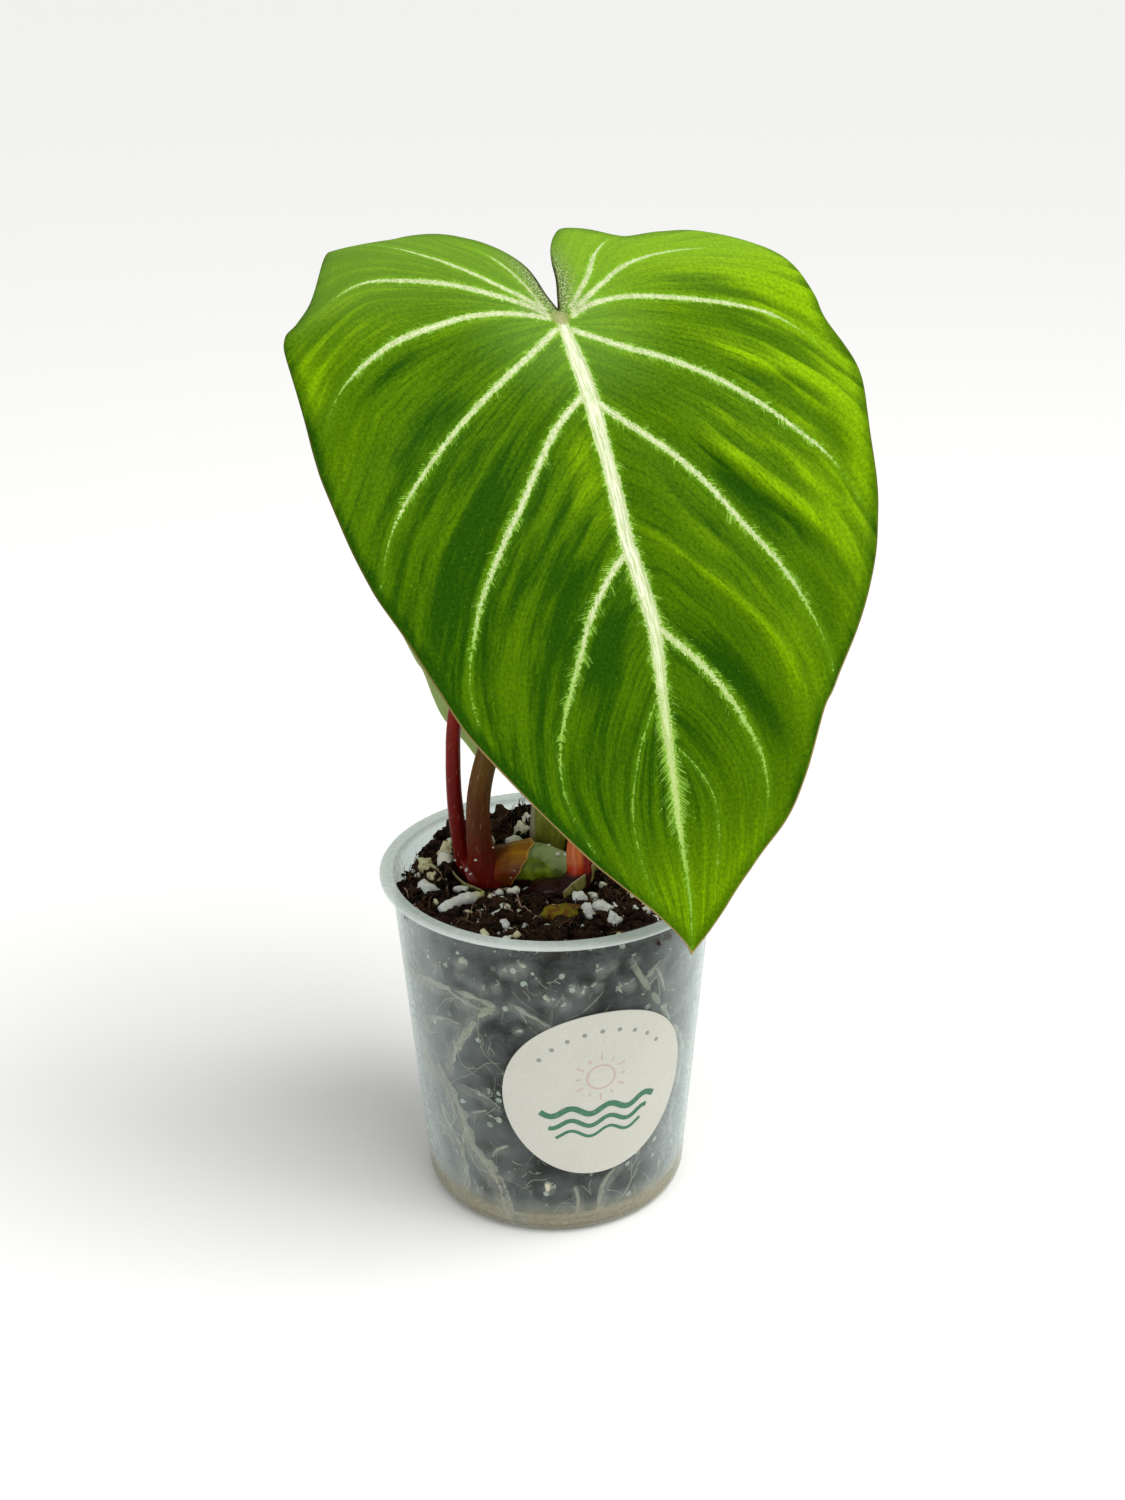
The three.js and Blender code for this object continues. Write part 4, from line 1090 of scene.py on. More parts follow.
def rhizome_skin():
    """Green bark under a bloom of wax: glossy at the sides, with a pale painted sheen on top and a
    dark brown underside that is partly painted shade.
    """
    material, add, shader = new_material("waxy_green_rhizome", 0.35, 1.45, 0.35)
    body = add("TexCoord", out="Object")
    x = add("SeparateXYZ", body)
    cloud = add("TexNoise", body, 260, 4)
    upward = add("Attribute", out="Fac", attribute_name="upward")
    ragged = add("ADD", upward, add("MULTIPLY", cloud, 0.5))
    # Painted sheen: the pale frost is strongest where the skin faces up, more on the bare green
    # length.
    sheen_level = add("ADD", ragged, add("MapRange", x, -0.007, 0.005, -0.05, 0.28))
    top_sheen = add("MapRange", sheen_level, 0.86, 0.99), add("MapRange", cloud, 0.2, 0.6, 0.55, 0.95)
    flecks = add("TexNoise", body, 800, 2, 0.7)
    color = add("Mix", add("MapRange", cloud, 0.35, 0.65), "#4c5c08", "#84981e")
    for share, code in (
        (add("MULTIPLY", *top_sheen), "#8fa06e"),
        (add("MapRange", flecks, 0.63, 0.7, 0, 0.7), "#26340c"),
        (add("MapRange", flecks, 0.33, 0.28, 0, 0.7), "#ccd6b4"),
        # Dark brown where the skin faces down: partly the rest of old sheaths, partly painted
        # shade.
        (add("MapRange", ragged, 0.1, 0), "#2c1009"),
        (add("MapRange", x, -0.012, -0.015), "#6e0d07"),
    ):
        color = add("Mix", share, color, code)
    finish_skin(add, shader, color, cloud, (0.25, 0.45), 0.4, 0.4)
    return material


rhizome = piece(
    "creeping_rhizome", points, faces, [rhizome_skin()], {"place": places, "upward": upward}
)
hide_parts("rhizome")
print("rhizome", len(faces), "faces")


# %% [markdown]
# The sheath once wrapped a young leaf. It is now a dry, split collar round the rhizome, so it is
# made from rings round the rhizome's own curve. Each ring gets wider towards the torn end, and
# noise makes the tear. A second, narrower layer of the same rings gives it thickness.

# %% Amber sheath
def rhizome_at(x):
    """The middle and the radius of the rhizome at a place along it."""
    share = np.interp(x, rhizome_path[:, 0], np.linspace(0, 1, len(rhizome_path)))
    radius = np.interp(share, np.linspace(0, 1, len(rhizome_radii)), rhizome_radii)
    return [np.interp(x, rhizome_path[:, 0], rhizome_path[:, i]) for i in (1, 2)] + [radius]


def sheath_skin():
    """A dried leaf sheath, thin as paper: fibrous stripes and a little shine, with painted light on
    top and painted shade below.
    """
    material, add, shader = new_material("dry_amber_sheath", 0.35, 1.45, 0.2)
    place = add("Attribute", out="Vector", attribute_name="place")
    around = add("SeparateXYZ", place)
    along = around.node.outputs[1]
    long_place = add("CombineXYZ", around, add("MULTIPLY", along, 0.15))
    stripes = add("TexNoise", long_place, 1.1, 3)
    blot = add("TexNoise", place, 0.3, 3)
    amber = add("MapRange", add("ADD", along, add("MULTIPLY", blot, 5)), 4, 9)
    upward = add("Attribute", out="Fac", attribute_name="upward")
    ragged = add("ADD", upward, add("MULTIPLY", blot, 0.8))
    # Painted shade in the crease at the top of the sheath's rear part, by the stalks.
    crease_shade = add("MapRange", ragged, 1.1, 1.3), add("MapRange", along, 6, 4, 0, 0.8)
    # Amber on top and dark red-brown below: partly the sheath's own colour, partly painted light
    # and shade.
    color = add("Mix", add("MapRange", ragged, 0.6, 1.25), "#662408", "#a8741c")
    color = add("Mix", amber, "#7a2608", color)
    for share, code in (
        (add("MapRange", stripes, 0.35, 0.65, 0, 0.6), "#6a3c08"),
        (add("MapRange", along, 9.3, 9.9, 0, 0.7), "#c09a50"),
        (add("MULTIPLY", *crease_shade), "#4a180c"),
        # Near black where the sheath faces down to the soil: painted shade.
        (add("MapRange", ragged, 0.2, 0), "#3a0c06"),
    ):
        color = add("Mix", share, color, code)
    finish_skin(add, shader, color, stripes, (0.25, 0.45), 0.5, 0.3)
    return material


STEPS, AROUND, THICKNESS = 30, 64, 0.45
outer, inner, places, upward = [], [], [], []
for i in range(STEPS):
    v = i / (STEPS - 1)
    for k in range(AROUND):
        angle = 2 * math.pi * k / AROUND
        front, up_share = math.cos(angle), math.sin(angle)
        torn = 0.7 * noise.noise(Vector((front * 3, up_share * 3, 5)))
        x = -17.5 + (7.8 + 4.6 * up_share + torn) * v
        y, z, radius = rhizome_at(x)
        wrinkle = 0.3 * noise.noise(Vector((angle * 2, x * 0.3, 1)))
        radius += 0.4 + 0.7 * v**4 + wrinkle
        for skin, r in ((outer, radius), (inner, radius - THICKNESS)):
            skin.append([x, y - front * r, z + up_share * r])
        places.append([angle * radius, 10 * v, radius])
        upward.append(up_share)
count = len(outer)
faces = ring_faces(STEPS, AROUND)
faces += [tuple(count + i for i in reversed(f)) for f in faces]
faces += [(b, a, count + a, count + b) for a, b in loop_edges(AROUND)]
faces += [(a, b, count + b, count + a) for a, b in loop_edges(AROUND, count - AROUND)]
sheath = piece(
    "torn_sheath", outer + inner, faces, [sheath_skin()],
    {"place": places * 2, "upward": upward * 2},
)
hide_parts("sheath")
print("sheath", len(faces), "faces")

# %% [markdown]
# The shoot and the stub are stems like the stalks, so the same tools make them. Old sheaths left
# two straps behind, one round the foot of the shoot and one left of the stalks. A strap is a
# flat band that stands on its edge and follows a path over the soil.

# %% New shoot and old stub
shoot_skin = stalk_skin(
    "glossy_orange_shoot", "#2c100b", "#c23a12", "#dc7440", 88.5, 92.5, 0.25, ("#8c1408", 7, 8.8)
)
shoot_path = arched(
    [[-5, 2.4, 82.6], [-0.5, -0.2, 83.2], [4, -0.8, 84], [6.8, 0.4, 88], [6.4, 3, 94.5],
     [7, 6, 102.6]],
    0.5,
)
stem_piece(
    "new_leaf_shoot", "new_shoot", shoot_path,
    [2.8, 3.8, 4.3, 4.2, 3.7, 3.2, 2.9, 2.4, 1.5, 0.35], 32, shoot_skin, 2, 0.03, 7.0,
)
stub_skin = stalk_skin(
    "dull_olive_stub", "#5c560f", "#808a2c", "#a2aa52", 86, 104, 0.45, ("#b0ad8c", -4.4, -4.9)
)
stub_path = arched([[-1, 20.5, 79], [-1.2, 21, 90], [-0.6, 22, 101], [1, 24, 109.4]], 0.6)
stem_piece(
    "old_leaf_stub", "old_stub", stub_path, [5.3, 5.2, 5.0, 4.9, 4.6, 4.1, 3.6], 32, stub_skin,
    9, 0.08, 9.0,
)
print("shoot", len(shoot_path), "rings, stub", len(stub_path))

# %% Straps
STRAP_SIDES = 12
# Each strap: its route, and its width where it is widest.
STRAPS = [
    ([[12.6, 4.6, 88], [10.8, 4.4, 88], [10.2, 0.5, 88], [7.8, -3.4, 87.8], [5.2, -6.4, 87.4],
      [2.9, -8.6, 86.8]], 3.6),
    ([[-26.9, 9.5, 86.2], [-25.8, 4.9, 86.1], [-23, -0.2, 86], [-19.8, -2.7, 85.8],
      [-16.3, -4.9, 85.2]], 1.5),
]


def upright_band(route, width):
    """A thin strap that stands on its edge along a path, narrower at both ends."""
    path = flowing(route, 0.5)
    ahead = np.gradient(path, axis=0)
    ahead /= np.linalg.norm(ahead, axis=1)[:, None]
    points, places = [], []
    for i, (spot, (dx, dy, _)) in enumerate(zip(path, ahead)):
        tall = width / 2 * np.interp(i / len(path), [0, 0.2, 0.8, 1], [0.3, 1, 1, 0.4])
        for k in range(STRAP_SIDES):
            angle = 2 * math.pi * k / STRAP_SIDES
            lean = 0.3 * math.cos(angle) + 0.25 * math.sin(angle)
            points.append(spot + np.array([dy * lean, -dx * lean, tall * math.sin(angle)]))
            places.append([math.sin(angle), 0.5 * i, 0.0])
    last = len(points) - STRAP_SIDES
    faces = ring_faces(len(path), STRAP_SIDES)
    faces += [tuple(range(STRAP_SIDES - 1, -1, -1)), tuple(range(last, last + STRAP_SIDES))]
    return np.array(points), faces, np.array(places)


def strap_skin():
    """The fibrous rest of a sheath: dull olive, with a pale upper edge."""
    material, add, shader = new_material("dull_olive_strap", 0.5, 1.45, 0.25)
    place = add("Attribute", out="Vector", attribute_name="place")
    blot = add("TexNoise", place, 0.6, 3)
    color = add("Mix", add("MapRange", blot, 0.35, 0.65), "#5c5a2a", "#8a8448")
    color = add("Mix", add("MapRange", add("SeparateXYZ", place), 0.82, 0.96), color, "#b0a68c")
    finish_skin(add, shader, color, blot, (0.4, 0.6))
    return material


points, faces, places = merged([upright_band(*strap) for strap in STRAPS])
straps = piece("sheath_straps", points, faces, [strap_skin()], {"place": places})
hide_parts("sheath")
print(len(STRAPS), "straps,", len(faces), "faces")

# %% [markdown]
# ## The soil
#
# Potting mix for aroids is peat, coir fibre, crumbs of bark and white perlite. The bulk is one
# body whose top is a field of lumps, made on a round grid with smooth noise of three sizes. Its
# side shows through the pot, so it is finely meshed too. Everything loose on top is real
# geometry: crumbs, fibres and perlite, each seated on the height of the soil under it.

# %% The body of the soil
SOIL_RADIUS = 40.25
WALL = 0.8
FULL_TURN = 6.28


def soil_height(x, y):
    """The CAD model's soil level, with lumps and crumbs."""
    rise = min(max((y - 6) / 30, 0), 1)
    height = 85 + 4.5 * rise * rise * (3 - 2 * rise)
    height += 0.9 * math.sin(0.31 * x + 1) * math.cos(0.27 * y) + 0.6 * math.sin(0.7 * x - 0.5 * y)
    share = min(max((x + 21) / 29, 0), 1)
    gap = math.hypot(x + 21 - 29 * share, y - 3 + 4.5 * share)
    height -= 2.2 * max(0, 1 - (gap / 7) ** 2)
    height += 1.2 * noise.noise(Vector((x * 0.28, y * 0.28, 1)))
    height += 1.3 * (0.25 - abs(noise.noise(Vector((x * 0.7, y * 0.7, 4)))))
    return height + 0.9 * (0.25 - abs(noise.noise(Vector((x * 1.6, y * 1.6, 7)))))


def wall_radius(z):
    """The outer radius of the pot's tapered wall at a height."""
    return 35 + 7 * (z - 4) / 86.7


def soil_point(kind, radius, z, angle):
    """A point of the soil's floor, of its side behind the wall, or of its top."""
    cos, sin = math.cos(angle), math.sin(angle)
    if kind == "side":
        radius = wall_radius(z) - WALL - 0.35
        lump = noise.noise(Vector((cos * radius * 0.35, sin * radius * 0.35, z * 0.35)))
        crumb = noise.noise(Vector((cos * radius * 1.1, sin * radius * 1.1, z * 1.1)))
        radius -= 0.35 + 0.45 * lump + 0.3 * crumb
    elif kind == "top":
        z = soil_height(cos * radius, sin * radius) - 0.8 * max(0, (radius - 38.5) / 1.75)
    return [cos * radius, sin * radius, z]


SEGMENTS = 288
turns = [2 * math.pi * k / SEGMENTS for k in range(SEGMENTS)]
profile = [("floor", 30.5 * step / 8, 1.3) for step in range(1, 9)]
profile += [("side", 0, z) for z in np.linspace(4.6, 83.6, 84)]
profile += [("top", SOIL_RADIUS * (1 - step / 80), 0) for step in range(80)]
points = [[0, 0, 1.3]] + [soil_point(*row, angle) for row in profile for angle in turns]
points.append([0, 0, soil_height(0, 0)])
top = len(points) - 1
faces = ring_faces(len(profile), SEGMENTS, 1)
faces += [(0, b, a) for a, b in loop_edges(SEGMENTS, 1)]
faces += [(a, b, top) for a, b in loop_edges(SEGMENTS, top - SEGMENTS)]


def soil_mix():
    """Damp peat and coir: nearly black and matt, with pale flecks of perlite."""
    material, add, shader = new_material("peat_and_coir_mix", 0.9, 1.4, 0.12)
    body = add("TexCoord", out="Object")
    lumps = add("TexNoise", body, 350, 5, 0.65)
    fine = add("TexNoise", body, 1300, 4, 0.7)
    color = add("Mix", add("MapRange", lumps, 0.35, 0.65), "#080503", "#281910")
    color = add("Mix", add("MapRange", fine, 0.52, 0.76), color, "#4d3826")
    chips = add("TexVoronoi", Vector=body, Scale=420, Randomness=1.0)
    pick = add("MapRange", add("SeparateColor", chips.node.outputs["Color"]), 0.9, 0.92)
    perlite = add("MULTIPLY", add("MapRange", chips, 0.42, 0.3), pick)
    color = add("Mix", perlite, color, "#d9d6c6")
    finish_skin(add, shader, color, fine, (0.98, 0.75), 0.8, 0.8)
    return material


peat = soil_mix()
soil = piece("soil_body", points, faces, [peat])
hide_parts("soil")
print("soil", len(faces), "faces")

# %% [markdown]
# Crumbs and perlite grains are both lumps, so one function makes them: a ball of small triangles
# whose radius is changed by noise. Perlite is glassy rock puffed up like popcorn, so its noise is
# strong and its facets are kept flat. Crumbs of bark are flatter and duller.

# %% Crumbs, perlite and fibres
def unit_ball(subdivisions):
    """The points and faces of a ball of small triangles, with a radius of one."""
    ball = bmesh.new()
    bmesh.ops.create_icosphere(ball, subdivisions=subdivisions, radius=1)
    points = np.array([v.co[:] for v in ball.verts])
    faces = [tuple(v.index for v in f.verts) for f in ball.faces]
    ball.free()
    return points, faces


BALLS = {n: unit_ball(n) for n in (1, 2, 3)}


def lump(at, size, chance, rough=0.3, detail=2, flat=(1, 1, 1), tone=0.0, spin=None):
    """One broken lump with a few flat sides, with a tone that its material can read."""
    points, faces = BALLS[detail]
    cuts = []
    for _ in range(7):
        way = Vector([chance.gauss(0, 1) for _ in range(3)]).normalized()
        cuts.append((way, chance.uniform(0.55, 0.85)))
    shift = Vector([chance.uniform(0, 50) for _ in range(3)])
    spin = chance.uniform(0, FULL_TURN) if spin is None else spin
    turn = Matrix.Rotation(spin, 3, "Z") @ Matrix.Rotation(chance.uniform(-0.7, 0.7), 3, "X")
    out = []
    for p in points:
        v = Vector(p)
        radius = min([1.15] + [far / v.dot(way) for way, far in cuts if v.dot(way) > far / 1.15])
        bumps = noise.noise(v * 1.2 + shift) + 0.7 * abs(noise.noise(v * 2.9 + shift))
        radius *= 1 + rough * (bumps + 0.3 * noise.noise(v * 6.3 + shift))
        v = Vector((v.x * flat[0], v.y * flat[1], v.z * flat[2])) * radius * size
        out.append(turn @ v + Vector(at))
    places = np.tile([tone, size, 0.0], (len(out), 1))
    return np.array(out), faces, places


chance = random.Random(7)
# Grains that stay in view: where each is seen in the frame, its size and how cream it is.
GRAINS = [
    (429, 891, 2.3, 0), (463, 891, 1.6, 0), (446, 850, 2.0, 1), (432, 845, 0.9, 1),
    (445, 834, 1.5, 1), (424, 862, 1.7, 1), (425, 870, 1.7, 1), (433, 876, 1.5, 1),
    (497, 918, 1.5, 0), (503, 923, 1.3, 0), (476, 923, 1.0, 0), (507, 932, 1.3, 0),
    (517, 935.5, 1.1, 1), (484, 934, 1.1, 1), (546, 927, 1.0, 0), (545, 899, 0.6, 0),
    (560, 897, 0.5, 0), (582, 901, 1.9, 0), (593, 898, 1.5, 0), (588, 913, 1.9, 0),
    (603, 909, 2.1, 0), (614, 908, 1.2, 0), (613, 919, 1.8, 0), (599, 924, 1.1, 0),
    (525, 927, 0.8, 0), (591, 935, 0.7, 0), (635, 909, 1.1, 0), (521, 829, 2.0, 0.6),
    (526, 818, 1.5, 0.4), (493, 899, 1.0, 0), (499, 894, 1.1, 0), (417, 876, 0.8, 0),
    (405, 878, 0.6, 0), (420, 906, 0.9, 0), (439, 893, 0.6, 0), (413, 871, 0.5, 0),
    (403, 886, 0.5, 0), (450, 925, 0.5, 0), (469, 934, 0.6, 1),
]


def ground_spot(widest):
    """A random place on the soil, spread evenly over a disc."""
    angle, far = chance.uniform(0, FULL_TURN), widest * math.sqrt(chance.random())
    return far * math.cos(angle), far * math.sin(angle)


def is_open(x, y):
    """Ground that no stem covers."""
    return not (-27 < x < 12 and -5 < y < 17) and math.hypot(x + 1, y - 21) > 6.5


carriers = [stalk_large, stalk_small, rhizome, sheath, soil]
graph = bpy.context.evaluated_depsgraph_get()
trees = [BVHTree.FromObject(carrier, graph) for carrier in carriers]


def first_hit(x, y, among=trees):
    """The nearest carrier's surface along the line of sight to a place in the view."""
    ahead = (right * (x - VIEW_X) / FOCAL + up * (VIEW_Y - y) / FOCAL - back).normalized()
    hits = [tree.ray_cast(place, ahead) for tree in among]
    return min((hit for hit in hits if hit[0]), key=lambda hit: hit[3])


grains = []
for x, y, size, tone in GRAINS:
    spot = first_hit(x, y + 1.2 * size, trees[4:])[0] / MM
    at = spot + Vector((0, 0, 0.35 * size))
    grains.append(lump(at, 1.12 * size, chance, 0.55, 3 if size > 1.2 else 2, (1, 0.9, 0.9), tone))
while len(grains) < 200:
    x, y = ground_spot(39)
    if is_open(x, y):
        size = 0.35 + (2.1 if y > 8 or x > 20 else 1.3) * chance.random() ** 2.5
        at = (x, y, soil_height(x, y) + 0.3 * size)
        grains.append(lump(at, size, chance, 0.55, 2, (1, 0.8, 0.8), chance.random()))
WALL_GRAINS = [
    (-14, 83, 2.4), (-11, 83.5, 1.8), (-17, 82, 1.2), (-45, 78, 1.4), (-34, 82, 1.6),
    (-30, 77, 0.7), (-26, 76, 0.9), (-20, 77, 1.0), (-35, 78, 0.8), (-1, 74, 1.7), (4, 73, 1.2),
    (10, 77, 1.5), (7, 78, 1.0), (16, 78, 1.0), (29, 83, 1.3), (17, 82, 1.8), (21, 83, 1.2),
    (28, 76, 1.3), (-42, 68, 0.6), (-13, 65, 1.0), (-20, 18, 1.2), (-3, 15, 1.4), (-35, 10, 0.8),
    (-27, 44, 0.8),
]
for _ in range(90):
    z = 82 - 76 * chance.random() ** 1.7
    WALL_GRAINS.append((chance.uniform(-180, 180), z, 0.3 + 1.0 * chance.random() ** 2))
for angle, z, size in WALL_GRAINS:
    angle = math.radians(angle)
    r = wall_radius(z) - 1.15 - size * chance.uniform(0.9, 1.25)
    at = (r * math.sin(angle), -r * math.cos(angle), z)
    flat = (chance.uniform(0.5, 1.3), 0.6, chance.uniform(0.4, 0.9))
    grains.append(lump(at, size, chance, 1.6, 3, flat, 2 if size < 1 else 1.6))

# Specks of perlite dust that stick to the stems, and one long chip that lies beside them.
STALK_SPECKS = [
    (476, 860, 0.36), (455.5, 860, 0.5), (446.5, 866, 0.5), (461.5, 867, 0.4), (466.5, 870, 0.5),
    (471, 874, 0.45), (492.5, 847.5, 0.36), (505.5, 840, 0.28), (510, 841, 0.28), (549, 845.5, 0.4),
    (558, 854, 0.6), (565, 855, 0.4), (545.5, 899, 0.55), (560, 897, 0.4), (514.5, 870.5, 0.2),
    (510.5, 877.5, 0.25), (568, 861, 0.4),
]
for x, y, size in STALK_SPECKS:
    spot, facing, _, _ = first_hit(x, y)
    grains.append(lump(spot / MM + facing * size * 0.3, size, chance, 0.5, 2, (1, 0.8, 0.8), 0.3))
stick = ((-28.4, -15.8), (-23, -10.8), (-18.2, -6.2))
stick = np.array([[x, y, soil_height(x, y) + 1.4] for x, y in stick])
points, faces, places = tube(evenly(stick, 0.5), [1.0, 1.5, 1.3, 1.6, 1.3, 0.9], 14)
tones = np.clip((places[:, 1] - 10) / 2, 0, 1.25)
grains.append((knobbly(points, 0.6, 1.0, 3), faces, np.column_stack([tones, tones, tones])))


def perlite_rock():
    """Puffed volcanic glass, full of pores, so that it looks chalk white and matt."""
    material, add, shader = new_material("puffed_perlite", 0.85, 1.5, 0.3)
    tone = add("SeparateXYZ", add("Attribute", out="Vector", attribute_name="place"))
    pits = add("TexNoise", add("TexCoord", out="Object"), 1500, 4, 0.75)
    color = add("Mix", tone, "#ffffff", "#f3edc4")
    for share, code in (
        (add("MapRange", tone, 1.1, 1.3), "#c8c878"),
        (add("MapRange", tone, 1.5, 1.6), "#d9d4b8"),
        (add("MapRange", tone, 1.6, 2), "#a9a693"),
        (add("MapRange", pits, 0.46, 0.3, 0, 0.35), "#9a9280"),
    ):
        color = add("Mix", share, color, code)
    finish_skin(add, shader, color, pits, (0.95, 0.75), 0.9, 0.5)
    return material


points, faces, places = merged(grains)
perlite = piece("perlite_grains", points, faces, [perlite_rock()], {"place": places})
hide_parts("soil")
print(len(grains), "grains of perlite")

crumbs = []
for _ in range(2600):
    x, y = ground_spot(39.6)
    if is_open(x, y):
        size = 0.45 + 1.9 * chance.random() ** 3
        at = (x, y, soil_height(x, y) + 0.25 * size)
        shape = (1.2, 0.35 + 0.5 * chance.random(), 0.4 + 0.4 * chance.random())
        crumbs.append(lump(at, size, chance, 0.5, 1 if size < 0.9 else 2, shape, chance.random()))
nodule = first_hit(564, 917, trees[4:])[0] / MM + Vector((0, 0, 0.9))
crumbs.append(lump(nodule, 3.6, chance, 0.4, 3, (1.3, 0.8, 0.7), 2, 0.1))


def bark_crumb():
    """Composted bark: dark, fibrous and matt. A tone above 1.2 makes it mossy."""
    material, add, shader = new_material("dark_bark_crumbs", 0.85, 1.4, 0.14)
    tone = add("SeparateXYZ", add("Attribute", out="Vector", attribute_name="place"))
    body = add("TexCoord", out="Object")
    fibre = add("TexNoise", body, 900, 4, 0.7)
    patches = add("MapRange", add("TexNoise", body, 500, 3), 0.4, 0.6)
    moss = add("Mix", patches, "#8a7c1c", "#7a5024")
    color = add("Mix", tone, "#090503", "#3a241a")
    color = add("Mix", add("MapRange", fibre, 0.52, 0.75), color, "#604530")
    color = add("Mix", add("MapRange", tone, 1.2, 1.8), color, moss)
    finish_skin(add, shader, color, fibre, (0.9, 0.65), 0.8, 0.5)
    return material


points, faces, places = merged(crumbs)
bark = piece("bark_crumbs", points, faces, [bark_crumb()], {"place": places})
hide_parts("soil")
print(len(crumbs), "crumbs of bark")


# %% [markdown]
# Coir is the fibre of coconut husks. Each fibre is a very thin tube on a path that wanders over
# the soil, with its ends sunk in. Near the wall at the back some stand up. The loose root ends
# are the same kind of tube, a little paler.

# %% Coir fibres and loose roots
def on_soil(route, lift, spacing=0.6):
    """A smooth path over the soil from a list of places, with both ends sunk in."""
    flat = flowing(route, spacing)
    path = []
    for i, (x, y) in enumerate(flat):
        end = math.sin(math.pi * i / (len(flat) - 1)) ** 0.5
        path.append([x, y, soil_height(x, y) - 0.6 + (lift + 0.6) * end])
    return np.array(path)


fibres = []
for _ in range(1700):
    x, y = ground_spot(37)
    heading, turn = chance.uniform(0, FULL_TURN), chance.uniform(-0.5, 0.5)
    length = chance.uniform(2.5, 9)
    route = [(x, y)]
    for _ in range(4):
        x, y = x + math.cos(heading) * length / 4, y + math.sin(heading) * length / 4
        heading += turn + chance.uniform(-0.3, 0.3)
        route.append((x, y))
    if all(is_open(*spot) and math.hypot(*spot) < 39.5 for spot in route):
        path = on_soil(route, chance.uniform(0.3, 1.5), 0.9)
        radius = chance.uniform(0.08, 0.2)
        points, faces, places = tube(path, [radius, radius * 0.7], 4)
        places[:, 2] = chance.random() ** 2
        fibres.append((points, faces, places))
for _ in range(46):
    angle = chance.gauss(2.3, 0.8)
    far = chance.uniform(35.5, 39)
    x, y = far * math.cos(angle), far * math.sin(angle)
    z = soil_height(x, y)
    lean = np.array([chance.uniform(-1, 1), chance.uniform(-1, 1), 0])
    rise = chance.uniform(1.5, 4.5)
    tip = np.array([x, y, z + rise]) + lean * 1.2
    tip[:2] *= min(1.0, 39.5 / max(np.hypot(*tip[:2]), 1e-6))
    middle = np.array([x, y, z + rise * 0.5]) + lean * 0.2
    path = arched([[x, y, z - 0.8], middle, tip], 0.6)
    points, faces, places = tube(path, [0.16, 0.05], 4)
    places[:, 2] = chance.random()
    fibres.append((points, faces, places))


def coir_fibre(name, dark, pale, roughness=0.7):
    """A plant fibre or fine root: a matt strand with lighter and darker stretches."""
    material, add, shader = new_material(name, roughness, 1.45, 0.3)
    place = add("Attribute", out="Vector", attribute_name="place")
    tone = add("SeparateXYZ", place).node.outputs[2]
    streak = add("TexNoise", place, 0.8, 3)
    mixed = add("MULTIPLY", tone, add("MapRange", streak, 0.2, 0.6, 0.3, 1))
    color = add("Mix", mixed, dark, pale)
    finish_skin(add, shader, color, streak, (roughness + 0.1, roughness - 0.1))
    return material


points, faces, places = merged(fibres)
brown_coir = coir_fibre("brown_coir_fibre", "#170d07", "#866040")
coir = piece("coir_fibres", points, faces, [brown_coir], {"place": places})
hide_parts("soil")
print(len(fibres), "fibres")

# Fine roots that lie loose on the soil, by the places where they are seen in the frame.
SURFACE_ROOTS = [
    ([(486, 893), (497, 889), (508, 889), (517, 894), (520, 903), (529, 908), (543, 914)],
     0.19, 1.6),
    ([(489, 890), (478, 898), (472, 908), (465, 920)], 0.15, 1.4),
    ([(484, 895), (476, 907), (481, 916), (482, 923)], 0.12, 1.4),
    ([(514, 897), (506, 898), (506, 907), (516, 914), (530, 913)], 0.14, 1.5),
    ([(528, 922), (535, 917), (543, 914)], 0.13, 1.2),
    ([(492, 897), (484, 902), (487, 910), (497, 912)], 0.12, 1.6),
    ([(404, 886), (408, 895), (410, 904)], 0.13, 1.0),
    ([(411, 900), (418, 909), (428, 912)], 0.15, 1.2),
    ([(548, 931), (551, 937), (560, 940)], 0.12, 1.0),
    ([(430, 868), (441, 874), (446, 885)], 0.12, 1.6),
    ([(455, 880), (447, 888), (450, 900)], 0.12, 1.4),
]
thin_roots = []
for route, radius, lift in SURFACE_ROOTS:
    route = [first_hit(x, y + 3 * lift, trees[4:])[0][:2] for x, y in route]
    route = [(x / MM, y / MM) for x, y in route]
    radii = [1.3 * radius, 1.2 * radius, 0.7 * radius]
    points, faces, places = tube(on_soil(route, lift, 0.4), radii, 6)
    places[:, 2] = 0.6 + 0.4 * chance.random()
    thin_roots.append((points, faces, places))
points, faces, places = merged(thin_roots)
tan_root = coir_fibre("tan_root_hair", "#5e4438", "#b89a8c", 0.5)
loose = piece("loose_roots", points, faces, [tan_root], {"place": places})
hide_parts("soil")

# %% [markdown]
# ## Roots against the wall
#
# Young roots search outwards until they meet the wall of the pot and then follow it. The main
# ones lie where the CAD model has them. Thin side roots start at random places on the wall and
# wander, all with one seeded random source.

# %% Wall roots
MM_PER_DEGREE = 0.65


def at_wall(angle, z, out):
    """A point in front of the pot's wall, by its angle from the front, its height and distance."""
    radius = wall_radius(z) + out
    return [radius * math.sin(math.radians(angle)), -radius * math.cos(math.radians(angle)), z]


